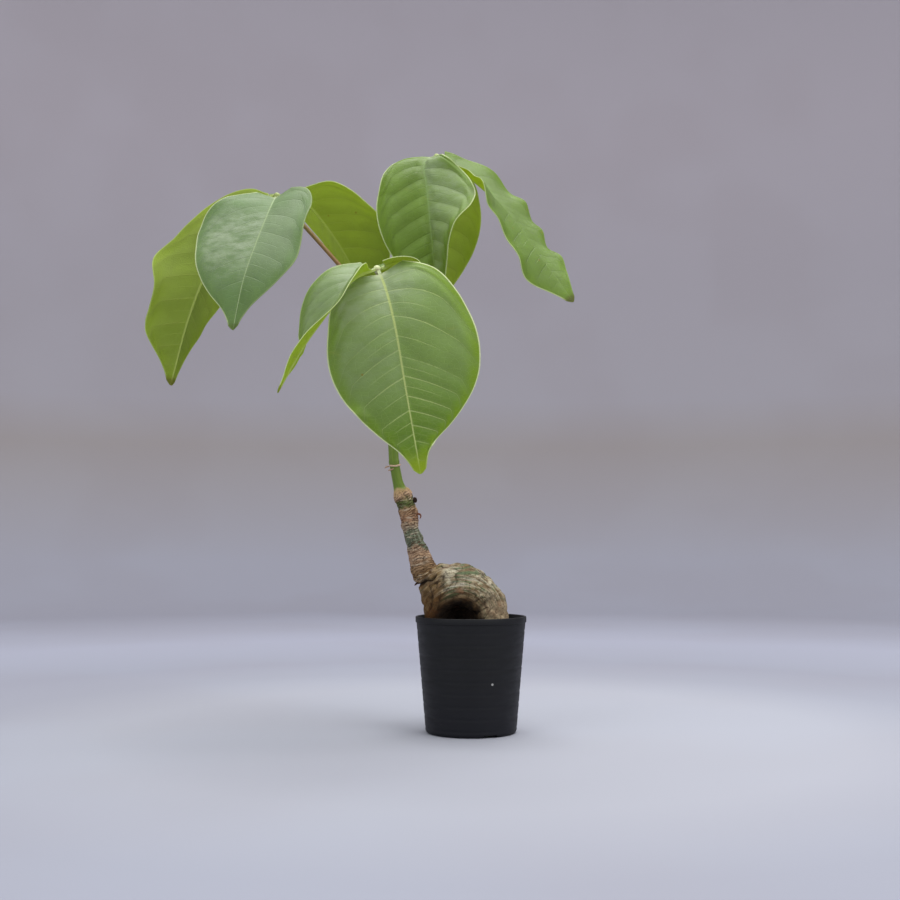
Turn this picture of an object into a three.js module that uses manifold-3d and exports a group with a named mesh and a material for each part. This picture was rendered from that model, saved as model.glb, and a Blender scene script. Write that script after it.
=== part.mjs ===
// A potted shaving brush tree: a young caudex plant, with three leaves of three large drooping leaflets,
// in a small black nursery pot. Millimetres, +Z up, +X to the right, +Y to the back.
// The origin is the middle of the pot's base.
import * as THREE from "three";
import { mergeVertices } from "three/addons/utils/BufferGeometryUtils.js";
import Module from "manifold-3d";

const wasm = await Module();
wasm.setup();

// Driving dimensions
const GAP = 0.3; // left between two pieces that touch
const POT_HEIGHT = 93;
const POT_RIM_RADIUS = 45;
const POT_BASE_RADIUS = 36.6;
const POT_WALL = 1.6;
const SOIL_TOP = 88;
const BLADE_THICKNESS = 0.9;
const PETIOLE_RADIUS = 1.6;

const vector = (p) => new THREE.Vector3(...p);
const mix = THREE.MathUtils.lerp;
const smooth = THREE.MathUtils.smoothstep;

// A three.js geometry as a solid that can be joined and cut, and back again
function solidOf(geometry) {
  const bare = geometry.clone();
  bare.deleteAttribute("normal");
  bare.deleteAttribute("uv");
  const merged = mergeVertices(bare, 1e-3);
  return new wasm.Manifold(
    new wasm.Mesh({
      numProp: 3,
      vertProperties: new Float32Array(merged.attributes.position.array),
      triVerts: new Uint32Array(merged.index.array),
    }),
  );
}

function geometryOf(solid) {
  const mesh = solid.getMesh();
  const geometry = new THREE.BufferGeometry();
  geometry.setAttribute("position", new THREE.BufferAttribute(new Float32Array(mesh.vertProperties), 3));
  geometry.setIndex(new THREE.BufferAttribute(new Uint32Array(mesh.triVerts), 1));
  geometry.computeVertexNormals();
  return geometry;
}

// A profile of [radius, height] points turned about the vertical axis
function turned(profile, sides) {
  const points = profile.map(([radius, height]) => new THREE.Vector2(radius, height));
  return new THREE.LatheGeometry(points, sides).rotateX(Math.PI / 2);
}

function eachVertex(geometry, move) {
  const position = geometry.attributes.position;
  const p = new THREE.Vector3();
  for (let i = 0; i < position.count; i++) {
    move(p.fromBufferAttribute(position, i));
    position.setXYZ(i, p.x, p.y, p.z);
  }
  return geometry;
}

// The pot: an injection-moulded cup with a stepped lip. Three shallow grooves under its floor run out to
// the foot's edge, with a drain hole in each, and three more holes lie between them.
const LIP_HEIGHT = 5;
const LIP_STEP = 0.8;
const RIM_ROUNDING = 0.7;
const FOOT_ROUNDING = 2.4;
const POT_FLOOR = 3.4;
const GROOVE_DEPTH = 2;
const GROOVE_WIDTH = 12.6;
const GROOVE_BEARING = 24; // degrees from the front towards +X, for the first groove
const DRAIN_RADIUS = 3.4;
const DRAIN_CIRCLE = 24;

const potRadiusAt = (z) => mix(POT_BASE_RADIUS, POT_RIM_RADIUS - LIP_STEP, z / (POT_HEIGHT - LIP_HEIGHT));

function potSolid() {
  const underLip = POT_HEIGHT - LIP_HEIGHT;
  const innerAt = (z) => potRadiusAt(z) - POT_WALL;
  const profile = [
    [0, 0],
    [DRAIN_CIRCLE, 0],
    [POT_BASE_RADIUS - FOOT_ROUNDING, 0],
    [POT_BASE_RADIUS - FOOT_ROUNDING * 0.4, FOOT_ROUNDING * 0.25],
    [potRadiusAt(FOOT_ROUNDING), FOOT_ROUNDING],
    [potRadiusAt(underLip * 0.5), underLip * 0.5],
    [potRadiusAt(underLip), underLip],
    [POT_RIM_RADIUS, underLip + LIP_STEP],
    [POT_RIM_RADIUS, POT_HEIGHT - RIM_ROUNDING],
    [POT_RIM_RADIUS - RIM_ROUNDING, POT_HEIGHT],
    [innerAt(POT_HEIGHT) + RIM_ROUNDING, POT_HEIGHT],
    [innerAt(POT_HEIGHT - RIM_ROUNDING), POT_HEIGHT - RIM_ROUNDING],
    [innerAt(POT_FLOOR), POT_FLOOR],
    [0, POT_FLOOR],
  ];
  let pot = solidOf(turned(profile, 64));
  for (let i = 0; i < 3; i++) {
    const bearing = THREE.MathUtils.degToRad(GROOVE_BEARING + i * 120 - 90);
    const groove = new THREE.BoxGeometry(POT_BASE_RADIUS, GROOVE_WIDTH, GROOVE_DEPTH * 2)
      .translate(DRAIN_CIRCLE + POT_BASE_RADIUS / 2, 0, 0)
      .rotateZ(bearing);
    pot = pot.subtract(solidOf(groove));
    for (const turn of [bearing, bearing + Math.PI / 3]) {
      const hole = new THREE.CylinderGeometry(DRAIN_RADIUS, DRAIN_RADIUS, POT_FLOOR * 4, 16)
        .rotateX(Math.PI / 2)
        .translate(DRAIN_CIRCLE * Math.cos(turn), DRAIN_CIRCLE * Math.sin(turn), 0);
      pot = pot.subtract(solidOf(hole));
    }
  }
  return pot;
}

// A round stalk: a profile of [distance, radius] turned about its axis and bent along a curve
class Stalk {
  constructor(points, profile) {
    this.curve = new THREE.CatmullRomCurve3(points.map(vector), false, "centripetal");
    this.length = this.curve.getLength();
    this.profile = profile;
  }

  frameAt(distance) {
    const share = THREE.MathUtils.clamp(distance / this.length, 0, 1);
    const tangent = this.curve.getTangentAt(share);
    const across = new THREE.Vector3(1, 0, 0).addScaledVector(tangent, -tangent.x).normalize();
    return { point: this.curve.getPointAt(share), across, other: tangent.clone().cross(across) };
  }

  // grow adds to every radius, and relief(distance, turn) to the radius at one place
  geometry(sides, grow = 0, relief = () => 0) {
    const inner = this.profile.map(([distance, radius]) => [radius + grow, distance]);
    const end = this.length;
    const closed = [[0, 0], ...inner, [0, end]];
    return eachVertex(turned(closed, sides), (p) => {
      const frame = this.frameAt(p.z);
      const radius = Math.hypot(p.x, p.y);
      const turn = Math.atan2(p.y, p.x);
      const out = radius > 0.01 ? radius + relief(p.z, turn) : 0;
      p.copy(frame.point)
        .addScaledVector(frame.across, out * Math.cos(turn))
        .addScaledVector(frame.other, out * Math.sin(turn));
    });
  }
}

// The trunk: a knobbly brown neck out of the caudex, then this year's slim green shoot
const trunk = new Stalk(
  [
    [-22, 1, 104],
    [-36, 0, 125],
    [-42.5, 0, 144],
    [-48.9, 0, 163],
    [-52, 1, 181],
    [-58.5, 1, 197.5],
    [-62, 0, 212],
    [-63.8, 0, 230],
    [-66, 1, 270],
    [-67.5, 1, 311],
    [-68.3, 0, 350],
  ],
  [
    [0, 7],
    [23, 8.2], // under the collar, where the bark has split
    [25, 9.8],
    [34, 8.9],
    [45, 7.8],
    [54, 7.1],
    [56, 7.5],
    [65, 6.3],
    [69, 6.9],
    [74, 6.4],
    [79, 7.1],
    [84, 6.6],
    [88, 7.3],
    [94, 7.5], // the old shoot's end, with its leaf scars
    [98, 6.6],
    [101, 5.1],
    [106, 4.4],
    [121, 4.2],
    [123, 4.7], // a fallen leaf's ring
    [125, 4.2],
    [175, 4.1],
    [212, 4.0],
    [222, 4.6],
    [238, 4.2],
    [245, 4.4],
    [251, 3.2],
    [254, 1.2],
  ],
);
const BARK = { from: 24, to: 100, relief: 0.33 };
const barkRelief = (distance, turn) =>
  distance > BARK.from && distance < BARK.to
    ? BARK.relief * (Math.sin(distance * 1.7 + 2 * turn) + Math.sin(3 * turn + distance * 0.35))
    : 0;

// The caudex: a swollen, humped foot that stands on three thick roots, with a hollow under its front.
// Each lobe runs from one ball to another: [x, y, z, radius].
const CAUDEX_CENTRE = vector([-8, 3, 117]);
const CAUDEX_REACH = 75;
const LOBE_BLEND = 7;
const HOLLOW_BLEND = 3;
const WART_HEIGHT = 0.5;
const FURROW_DEPTH = 0.45;
const LOBES = [
  { from: [-15, 1, 112, 23], to: [11.5, 1, 105.5, 17.5] }, // the hump
  { from: [-25.5, -1, 118, 14], to: [-27, -7, 76, 9] }, // the left root, under the trunk
  { from: [7, -2, 108, 13.5], to: [22.5, -9, 76, 10.5] }, // the right root
  { from: [-6, 10, 110, 18], to: [-2, 24, 76, 12] }, // the back root
];
const COARSE_STEP = 2; // the surface is looked for outwards at this step, which is then halved
const HALVINGS = 14;
const HOLLOW = { centre: vector([-10, -22, 88]), radii: vector([15.5, 24, 16]) };

function blend(a, b, width) {
  const h = THREE.MathUtils.clamp(0.5 + (b - a) / (2 * width), 0, 1);
  return mix(b, a, h) - width * h * (1 - h);
}

function caudexDistance(p) {
  let nearest = Infinity;
  for (const { from, to } of LOBES) {
    const a = vector(from.slice(0, 3));
    const along = vector(to.slice(0, 3)).sub(a);
    const share = THREE.MathUtils.clamp(p.clone().sub(a).dot(along) / along.lengthSq(), 0, 1);
    const distance = p.distanceTo(a.addScaledVector(along, share)) - mix(from[3], to[3], share);
    nearest = nearest === Infinity ? distance : blend(nearest, distance, LOBE_BLEND);
  }
  const inHollow = p.clone().sub(HOLLOW.centre).divide(HOLLOW.radii);
  const hollow = (inHollow.length() - 1) * HOLLOW.radii.x;
  const warts = Math.sin(p.x * 0.42 + 1.3 * Math.sin(p.z * 0.21)) * Math.sin(p.y * 0.37 + p.z * 0.3);
  const furrows = Math.sin(p.z * 0.75 + p.x * 0.16 + 1.6 * Math.sin(p.x * 0.12 + p.y * 0.15));
  return -blend(-nearest, hollow, HOLLOW_BLEND) + WART_HEIGHT * warts + FURROW_DEPTH * furrows;
}

// grow moves the whole surface outwards
function caudexSolid(grow = 0) {
  const geometry = eachVertex(new THREE.IcosahedronGeometry(1, 11), (p) => {
    const direction = p.clone().normalize();
    const at = (reach) => caudexDistance(CAUDEX_CENTRE.clone().addScaledVector(direction, reach)) - grow;
    let low = 0;
    while (low < CAUDEX_REACH && at(low + COARSE_STEP) < 0) low += COARSE_STEP;
    let high = low + COARSE_STEP;
    for (let i = 0; i < HALVINGS; i++) {
      const middle = (low + high) / 2;
      if (at(middle) < 0) low = middle;
      else high = middle;
    }
    p.copy(CAUDEX_CENTRE).addScaledVector(direction, low);
  });
  return solidOf(geometry);
}

// The soil: gritty mix that fills the pot, with sockets where the roots stand in it
const LUMP_HEIGHT = 0.6;

function soilSolid(roots) {
  const fit = (z) => potRadiusAt(z) - POT_WALL - GAP;
  const bottom = POT_FLOOR + GAP;
  const profile = [[0, bottom], [fit(POT_FLOOR), bottom]];
  for (const share of [1, 0.85, 0.7, 0.55, 0.4, 0.2, 0]) profile.push([share * fit(SOIL_TOP), SOIL_TOP]);
  const heap = eachVertex(turned(profile, 40), (p) => {
    const inside = 1 - smooth(Math.hypot(p.x, p.y), 0.8 * fit(SOIL_TOP), fit(SOIL_TOP));
    const lumps = Math.sin(p.x * 0.5 + 1) * Math.sin(p.y * 0.45) + 0.6 * Math.sin(p.x * 0.9 - p.y * 0.8);
    if (p.z > SOIL_TOP - 1) p.z += inside * LUMP_HEIGHT * (1 + lumps);
  });
  return solidOf(heap).subtract(roots);
}

// A leaf stalk, from inside the shoot, where it is swollen, to the hub at its top, where the leaflets meet
const HUB_RADIUS = 2.9;
const PETIOLE_FOOT_RADIUS = 3;
const PETIOLE_NECK_RADIUS = 2.1;

function petiole(points) {
  const stalk = new Stalk(points, []);
  const { length } = stalk;
  stalk.profile = [
    [0, PETIOLE_FOOT_RADIUS],
    [7, PETIOLE_FOOT_RADIUS - 0.3],
    [13, PETIOLE_RADIUS + 0.2],
    [length * 0.5, PETIOLE_RADIUS],
    [length - 10, PETIOLE_RADIUS],
    [length - 3, PETIOLE_NECK_RADIUS],
  ];
  return solidOf(stalk.geometry(10)).add(hubSolid(points.at(-1), 0));
}

function hubSolid(centre, grow) {
  const ball = new THREE.SphereGeometry(HUB_RADIUS + grow, 12, 8);
  return solidOf(ball.translate(...centre));
}

// A leaflet: a thin waved blade on a short stalk, with a keel under its midrib.
// midrib: points from the stalk to the tip. facing: the way its upper side looks, at even steps along it.
// Left and right are as seen from above with the tip down, and these are given for each half:
// width: its greatest width. fold: degrees that it is raised, at even steps from the stalk to the tip.
// hang: how far its margin hangs lower than that. wave: its margin's [height, number, start].
// lobe: how far its base reaches back past the stalk. heel: how full its base is, as a side leaflet's
// inner half is narrow there. fullness: its width against the shared outline's, at even steps.
const STALK_SHARE = 0.035;
const ROWS = [
  0, 0.55, 1, 1.6, 2.4, 3.4, 4.6, 5.9, 7.2, 8.5, 9.8, 11.1, 12.4, 13.7, 15, 16.2, 17.3, 18.3, 19.2, 20,
];
const COLUMNS = [-1, -0.74, -0.42, -0.07, 0, 0.07, 0.42, 0.74, 1];
const STALK_HALF_WIDTH = 1.2;
const STALK_THICKNESS = 2.6;
const KEEL_DEPTH = 1.3; // at the stalk; a fifth of it is left at the tip
const HEEL_END = 0.35;
const LOBE_END = 0.13;
// The outline that all the leaflets share, as parts of the greatest width at every tenth of the length:
// full near the stalk, widest at two fifths, and drawn out to a blunt tip
const OUTLINE = [0.3, 0.69, 0.87, 0.96, 1, 0.97, 0.87, 0.7, 0.47, 0.21, 0.07];

// The value at a share of the way along a list of evenly spaced values, as a smooth curve through them
function along(values, share) {
  const points = values.map((value, i) => new THREE.Vector2(i, value));
  return new THREE.SplineCurve(points).getPoint(share).y;
}

class Blade {
  constructor(shape) {
    Object.assign(this, { fullness: [[1], [1]] }, shape);
    this.curve = new THREE.CatmullRomCurve3(shape.midrib.map(vector), false, "centripetal");
    this.turning = new THREE.CatmullRomCurve3(shape.facing.map(vector));
  }

  // u runs from the stalk to the tip, and v from the left margin at -1 to the right one at 1
  point(u, v) {
    const tangent = this.curve.getTangentAt(u);
    const facing = this.turning.getPoint(u);
    facing.addScaledVector(tangent, -facing.dot(tangent)).normalize();
    const left = tangent.clone().cross(facing);
    const half = v < 0 ? 0 : 1;
    const out = Math.abs(v);
    const inBlade = THREE.MathUtils.clamp((u - STALK_SHARE) / (1 - STALK_SHARE), 0, 1);
    const heel = mix(this.heel[half], 1, smooth(inBlade, 0, HEEL_END));
    const full = heel * along(this.fullness[half], inBlade);
    const share = u < STALK_SHARE ? 0 : full * along(OUTLINE, inBlade);
    const reach = out * Math.max(STALK_HALF_WIDTH, share * this.width[half]);
    const fold = THREE.MathUtils.degToRad(along(this.fold[half], u));
    const [height, number, start] = this.wave[half];
    const wave = height * Math.sin(2 * Math.PI * (number * u + start)) * out * out;
    const rise = reach * Math.sin(fold) + share * (wave - this.hang[half] * out * out);
    const back = share > 0 ? this.lobe[half] * out ** 1.5 * Math.exp(-((inBlade / LOBE_END) ** 2)) : 0;
    return this.curve
      .getPointAt(u)
      .addScaledVector(left, (v < 0 ? 1 : -1) * reach * Math.cos(fold))
      .addScaledVector(facing, rise)
      .addScaledVector(tangent, -back);
  }

  normal(u, v, step = 0.004) {
    const lengthwise = this.point(Math.min(u + step, 1), v).sub(this.point(Math.max(u - step, 0), v));
    const crosswise = this.point(u, Math.min(v + step, 1)).sub(this.point(u, Math.max(v - step, -1)));
    return lengthwise.cross(crosswise).normalize();
  }

  // Both faces are split into the same triangles, so that they never cross
  geometry() {
    const across = COLUMNS.length;
    const vertices = [];
    for (const side of [1, -1]) {
      ROWS.forEach((row, i) => {
        const u = row / ROWS.at(-1);
        const onStalk = u < STALK_SHARE;
        COLUMNS.forEach((column, j) => {
          const v = onStalk ? (2 * j) / (across - 1) - 1 : column;
          const keel = side < 0 && j === (across - 1) / 2 ? KEEL_DEPTH * (1 - 0.8 * u) : 0;
          const thickness = onStalk ? STALK_THICKNESS : BLADE_THICKNESS;
          const normal = this.normal(u, v);
          vertices.push(...this.point(u, v).addScaledVector(normal, side * (thickness / 2 + keel)));
        });
      });
    }
    const below = ROWS.length * across;
    const at = (i, j) => i * across + j;
    const triangles = [];
    const wall = (a, b) => triangles.push(a, a + below, b, b, a + below, b + below);
    for (let i = 0; i + 1 < ROWS.length; i++) {
      for (let j = 0; j + 1 < across; j++) {
        const [a, b, c, d] = [at(i, j), at(i + 1, j), at(i + 1, j + 1), at(i, j + 1)];
        triangles.push(a, b, c, a, c, d);
        triangles.push(a + below, c + below, b + below, a + below, d + below, c + below);
      }
      wall(at(i, 0), at(i + 1, 0));
      wall(at(i + 1, across - 1), at(i, across - 1));
    }
    for (let j = 0; j + 1 < across; j++) {
      wall(at(0, j + 1), at(0, j));
      wall(at(ROWS.length - 1, j), at(ROWS.length - 1, j + 1));
    }
    const geometry = new THREE.BufferGeometry();
    geometry.setAttribute("position", new THREE.BufferAttribute(new Float32Array(vertices), 3));
    geometry.setIndex(triangles);
    return geometry;
  }
}

// The three leaves: each one's stalk, and its leaflets' shapes
const LEAVES = {
  left: {
    petiole: [[-68, 0, 332], [-82, -1, 350], [-118, -4, 392], [-160, -9, 437.8]],
    leaflets: {
      front: {
        midrib: [
          [-160, -10, 437.5], [-161, -36, 421.3], [-168, -64, 385.3],
          [-174.8, -82, 351.4], [-180.3, -92, 312],
        ],
        facing: [[-0.25, -0.55, 0.75], [-0.3, -0.85, 0.4]],
        width: [52, 44],
        fold: [[25, 10, 8, 5], [12, 2, 0, 5, 5]],
        hang: [3, 0],
        wave: [[1.5, 2, 0.1], [2, 2, 0.4]],
        lobe: [14, 16],
        heel: [1, 0.85],
        fullness: [[1, 1.15, 1.1, 1, 1.05, 1.1, 1], [1.05, 1.05, 0.88, 0.95, 1.15, 1.12, 1]],
      },
      outer: {
        midrib: [
          [-162, -8, 438], [-191.6, 4, 429.5], [-217.6, 12, 387.3],
          [-237, 16, 338.8], [-250.3, 14, 283.3],
        ],
        facing: [[-0.1, 0.9, 0.4], [-0.2, 0.95, 0.1]],
        width: [46, 53],
        fold: [[20, 40, 55, 65, 60], [85, 68, 38, 8, -5, 0]],
        hang: [2, 2],
        wave: [[3, 3, 0.2], [3, 3.5, 0.6]],
        lobe: [6, 0],
        heel: [1, 0.6],
        fullness: [[1], [1, 1, 1, 0.9, 0.84, 0.92, 0.78, 0.9, 1.22, 1.25, 1]],
      },
      back: {
        midrib: [
          [-157.5, -6, 438], [-142.5, 20, 443], [-121, 38, 421],
          [-101.5, 48, 390], [-84.6, 50, 346.5],
        ],
        facing: [[0.2, 0.5, 0.85], [0.5, 0.85, 0.1]],
        width: [45, 46],
        fold: [[13, 9, 5, 5], [5, 38, 40, 36]],
        hang: [2, 2],
        wave: [[2, 2, 0.3], [2, 2, 0.1]],
        lobe: [6, 6],
        heel: [0.95, 1],
        fullness: [[1.05, 1, 1, 1.2, 1.4, 1.2], [1]],
      },
    },
  },
  front: {
    petiole: [[-67, 0, 316], [-67, -12, 328], [-70, -50, 349], [-72, -94, 358]],
    leaflets: {
      front: {
        midrib: [
          [-71, -95.5, 357.3], [-64.3, -110, 339.1], [-57.1, -120, 310.2],
          [-49.4, -119, 265.6], [-38.4, -109.8, 202.6],
        ],
        facing: [[0.1, -0.75, 0.65], [0.1, -0.98, 0.05]],
        width: [54, 60],
        fold: [[-12, 0, 0, 0], [20, 5, 0, 0]],
        hang: [2, 3],
        wave: [[2, 2, 0.5], [2, 2, 0.2]],
        lobe: [0, 9],
        heel: [1, 1],
        fullness: [[1, 0.95, 1, 1, 1], [1, 1, 1, 1, 1, 1.02, 1.06, 1.08, 1.05, 0.85, 1]],
      },
      left: {
        midrib: [
          [-73.8, -95.8, 357.8], [-88.3, -125, 343.2], [-103.8, -150, 314.3],
          [-118.4, -168, 287.3], [-134.4, -178, 254.5],
        ],
        facing: [[-0.6, -0.25, 0.75], [-0.9, 0, 0.43]],
        width: [42, 30],
        fold: [[52, 32, 9, 2, 5], [6, 12, -8, 15, 18]],
        hang: [0, 0],
        wave: [[2, 2, 0.3], [3, 2.5, 0.1]],
        lobe: [12, -4],
        heel: [1, 0.3],
      },
      back: {
        midrib: [
          [-69, -92.8, 359], [-55.2, -79, 366.1], [-41.8, -66, 354.4],
          [-31.9, -54, 324.8], [-27.2, -46, 290.4],
        ],
        facing: [[0.4, 0.3, 0.85], [0.75, 0.5, 0.3]],
        width: [28, 38],
        fold: [[60, 14, -22, -20, -15, -10, -5], [-5, -5, 0]],
        hang: [3, 3],
        wave: [[2, 2, 0.3], [2, 2, 0.1]],
        lobe: [9, 2],
        heel: [1.1, 0.6],
      },
    },
  },
  top: {
    petiole: [[-68.2, 0, 345], [-62, 2, 364], [-51, 6, 402], [-28, 8, 476]],
    leaflets: {
      front: {
        midrib: [
          [-29, 6.5, 477], [-38.1, -8, 465.9], [-35.8, -18, 440.3],
          [-32, -24, 399.8], [-26, -26, 338],
        ],
        facing: [[-0.1, -0.5, 0.85], [0, -0.98, 0.1]],
        width: [43, 41],
        fold: [[-5, 0, 0, 0], [20, 10, 18, 60, 64, 45]],
        hang: [3, 3],
        wave: [[2, 2, 0.3], [2, 2, 0.1]],
        lobe: [8, 5],
        heel: [1, 0.65],
      },
      right: {
        midrib: [[-26.5, 8, 477], [-3, 15, 463], [29, 9, 432], [56.5, 0, 391.5], [84.8, -5, 350.3]],
        facing: [[0.5, -0.48, 0.72], [0.6, -0.42, 0.66], [0.6, -0.55, 0.58], [0.1, -0.97, 0.2]],
        width: [50, 40],
        fold: [[30, 31, 30, 12, 1, 0, 0, 0, 0], [11, 8, 2, 0, 0]],
        hang: [0, 0],
        wave: [[3, 4, 0.3], [3, 4, 0.1]],
        lobe: [0, 4],
        heel: [0.25, 1],
        fullness: [
          [1, 0.9, 0.85, 1, 1.02, 0.84, 0.8, 0.95, 1.3, 1.35, 1],
          [1, 1, 1, 1.1, 1.12, 0.95, 0.85, 0.95, 1.1, 1.1, 1],
        ],
      },
      back: {
        midrib: [[-28, 10.8, 477.2], [-26, 34, 474], [-26, 52, 446], [-29, 62, 398], [-34, 65, 350]],
        facing: [[0.05, 0.4, 0.9], [0.1, 0.95, 0.2]],
        width: [37, 42],
        fold: [[-25, -15, 0, 0, 0], [-10, 0, 0]],
        hang: [3, 3],
        wave: [[2, 2, 0.3], [2, 2, 0.1]],
        lobe: [4, 4],
        heel: [1, 1],
      },
    },
  },
};

// Finishes, as seen on the plant
const finish = (color, roughness) => new THREE.MeshStandardMaterial({ color, roughness, metalness: 0 });
const FINISHES = {
  pot: finish("#202226", 0.55),
  soil: finish("#3a2f26", 0.95),
  bark: finish("#8d7a5c", 0.85),
  petiole: finish("#9a6a3c", 0.6),
  leaf: finish("#5f8a3c", 0.55),
};

const tree = new THREE.Group();
function addPiece(name, geometry, material) {
  const mesh = new THREE.Mesh(geometry, material);
  mesh.name = name;
  tree.add(mesh);
}

const caudex = caudexSolid();
const stem = solidOf(trunk.geometry(14, 0, barkRelief)).add(caudex);

addPiece("pot", geometryOf(potSolid()), FINISHES.pot);
addPiece("soil", geometryOf(soilSolid(caudexSolid(GAP))), FINISHES.soil);
addPiece("caudex_and_stem", geometryOf(stem), FINISHES.bark);

const shoot = solidOf(trunk.geometry(14, GAP));
for (const [leafName, leaf] of Object.entries(LEAVES)) {
  const stalk = petiole(leaf.petiole).subtract(shoot);
  addPiece(`petiole_${leafName}`, geometryOf(stalk), FINISHES.petiole);
  const hub = hubSolid(leaf.petiole.at(-1), GAP);
  for (const [name, shape] of Object.entries(leaf.leaflets)) {
    const blade = solidOf(new Blade(shape).geometry()).subtract(hub);
    addPiece(`leaflet_${leafName}_${name}`, geometryOf(blade), FINISHES.leaf);
  }
}

export default tree;
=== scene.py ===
"""A potted shaving brush tree: a caudex with a slim trunk and large drooping leaflets, in a small black pot.

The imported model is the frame. Each section below makes one piece of the plant or its pot, in metres, in that
frame, and the last ones make the studio around it.
"""
import math
import random
from collections import namedtuple

import bmesh
import bpy
from mathutils import Matrix, Vector, kdtree, noise


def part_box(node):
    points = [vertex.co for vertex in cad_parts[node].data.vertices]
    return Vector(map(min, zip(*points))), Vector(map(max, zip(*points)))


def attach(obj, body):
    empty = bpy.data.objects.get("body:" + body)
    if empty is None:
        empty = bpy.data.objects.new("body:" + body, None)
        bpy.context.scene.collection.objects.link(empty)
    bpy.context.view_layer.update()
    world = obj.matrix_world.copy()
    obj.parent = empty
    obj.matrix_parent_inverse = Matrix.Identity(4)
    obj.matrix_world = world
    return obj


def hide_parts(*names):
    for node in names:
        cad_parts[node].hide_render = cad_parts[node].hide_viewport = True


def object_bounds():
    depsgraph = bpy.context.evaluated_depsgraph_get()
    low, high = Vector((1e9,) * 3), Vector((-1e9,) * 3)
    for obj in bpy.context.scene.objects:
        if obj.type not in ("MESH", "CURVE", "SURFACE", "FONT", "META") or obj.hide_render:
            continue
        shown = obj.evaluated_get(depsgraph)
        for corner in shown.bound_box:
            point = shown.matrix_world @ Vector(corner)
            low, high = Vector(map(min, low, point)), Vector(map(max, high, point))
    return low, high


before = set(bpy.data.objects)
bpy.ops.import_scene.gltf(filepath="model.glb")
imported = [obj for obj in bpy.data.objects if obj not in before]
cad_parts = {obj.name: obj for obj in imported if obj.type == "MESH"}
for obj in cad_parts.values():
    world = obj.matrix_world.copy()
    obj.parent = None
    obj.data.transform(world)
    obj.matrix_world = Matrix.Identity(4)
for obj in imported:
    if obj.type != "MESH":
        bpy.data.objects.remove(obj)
cad_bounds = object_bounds()


# The pot: an injection-moulded nursery pot of thin black plastic, with a stepped lip and faint turned rings.
# Three shallow grooves under its floor run out to the foot, and water drains through six holes.
MM = 0.001
_, pot_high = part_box("pot")
POT_HEIGHT = pot_high.z
POT_RIM = pot_high.x
POT_BASE = 36.6 * MM
POT_WALL = 1.6 * MM
POT_FLOOR = 3.4 * MM
LIP_HEIGHT = 5 * MM
LIP_STEP = 0.8 * MM
RIM_ROUNDING = 0.7 * MM
FOOT_ROUNDING = 2.4 * MM
RING_PITCH = 9.6 * MM
RING_DEPTH = 0.28 * MM
RING_SPREAD = 0.7 * MM
WALL_ROW = 0.9 * MM
GROOVE_BEARING = math.radians(-66)
GROOVE_SIZE = (36 * MM, 12.6 * MM, 4 * MM)
GROOVE_ROUNDING = 0.5 * MM
DRAIN_CIRCLE = 24 * MM
DRAIN_RADIUS = 3.4 * MM
POT_SIDES = 144
WELD = 0.001 * MM  # points that are closer together are merged
FLECK_PLACE = (16.1 * MM, -36.8 * MM, 41.9 * MM)
FLECK_RADIUS = 0.9 * MM
FLECK_BLUR = 0.2 * MM


def srgb(red, green, blue):
    """A screen colour, 0 to 255, as the linear colour that a shader takes."""
    linear = [((c / 255 + 0.055) / 1.055) ** 2.4 if c > 10 else c / 255 / 12.92 for c in (red, green, blue)]
    return (*linear, 1)


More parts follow.
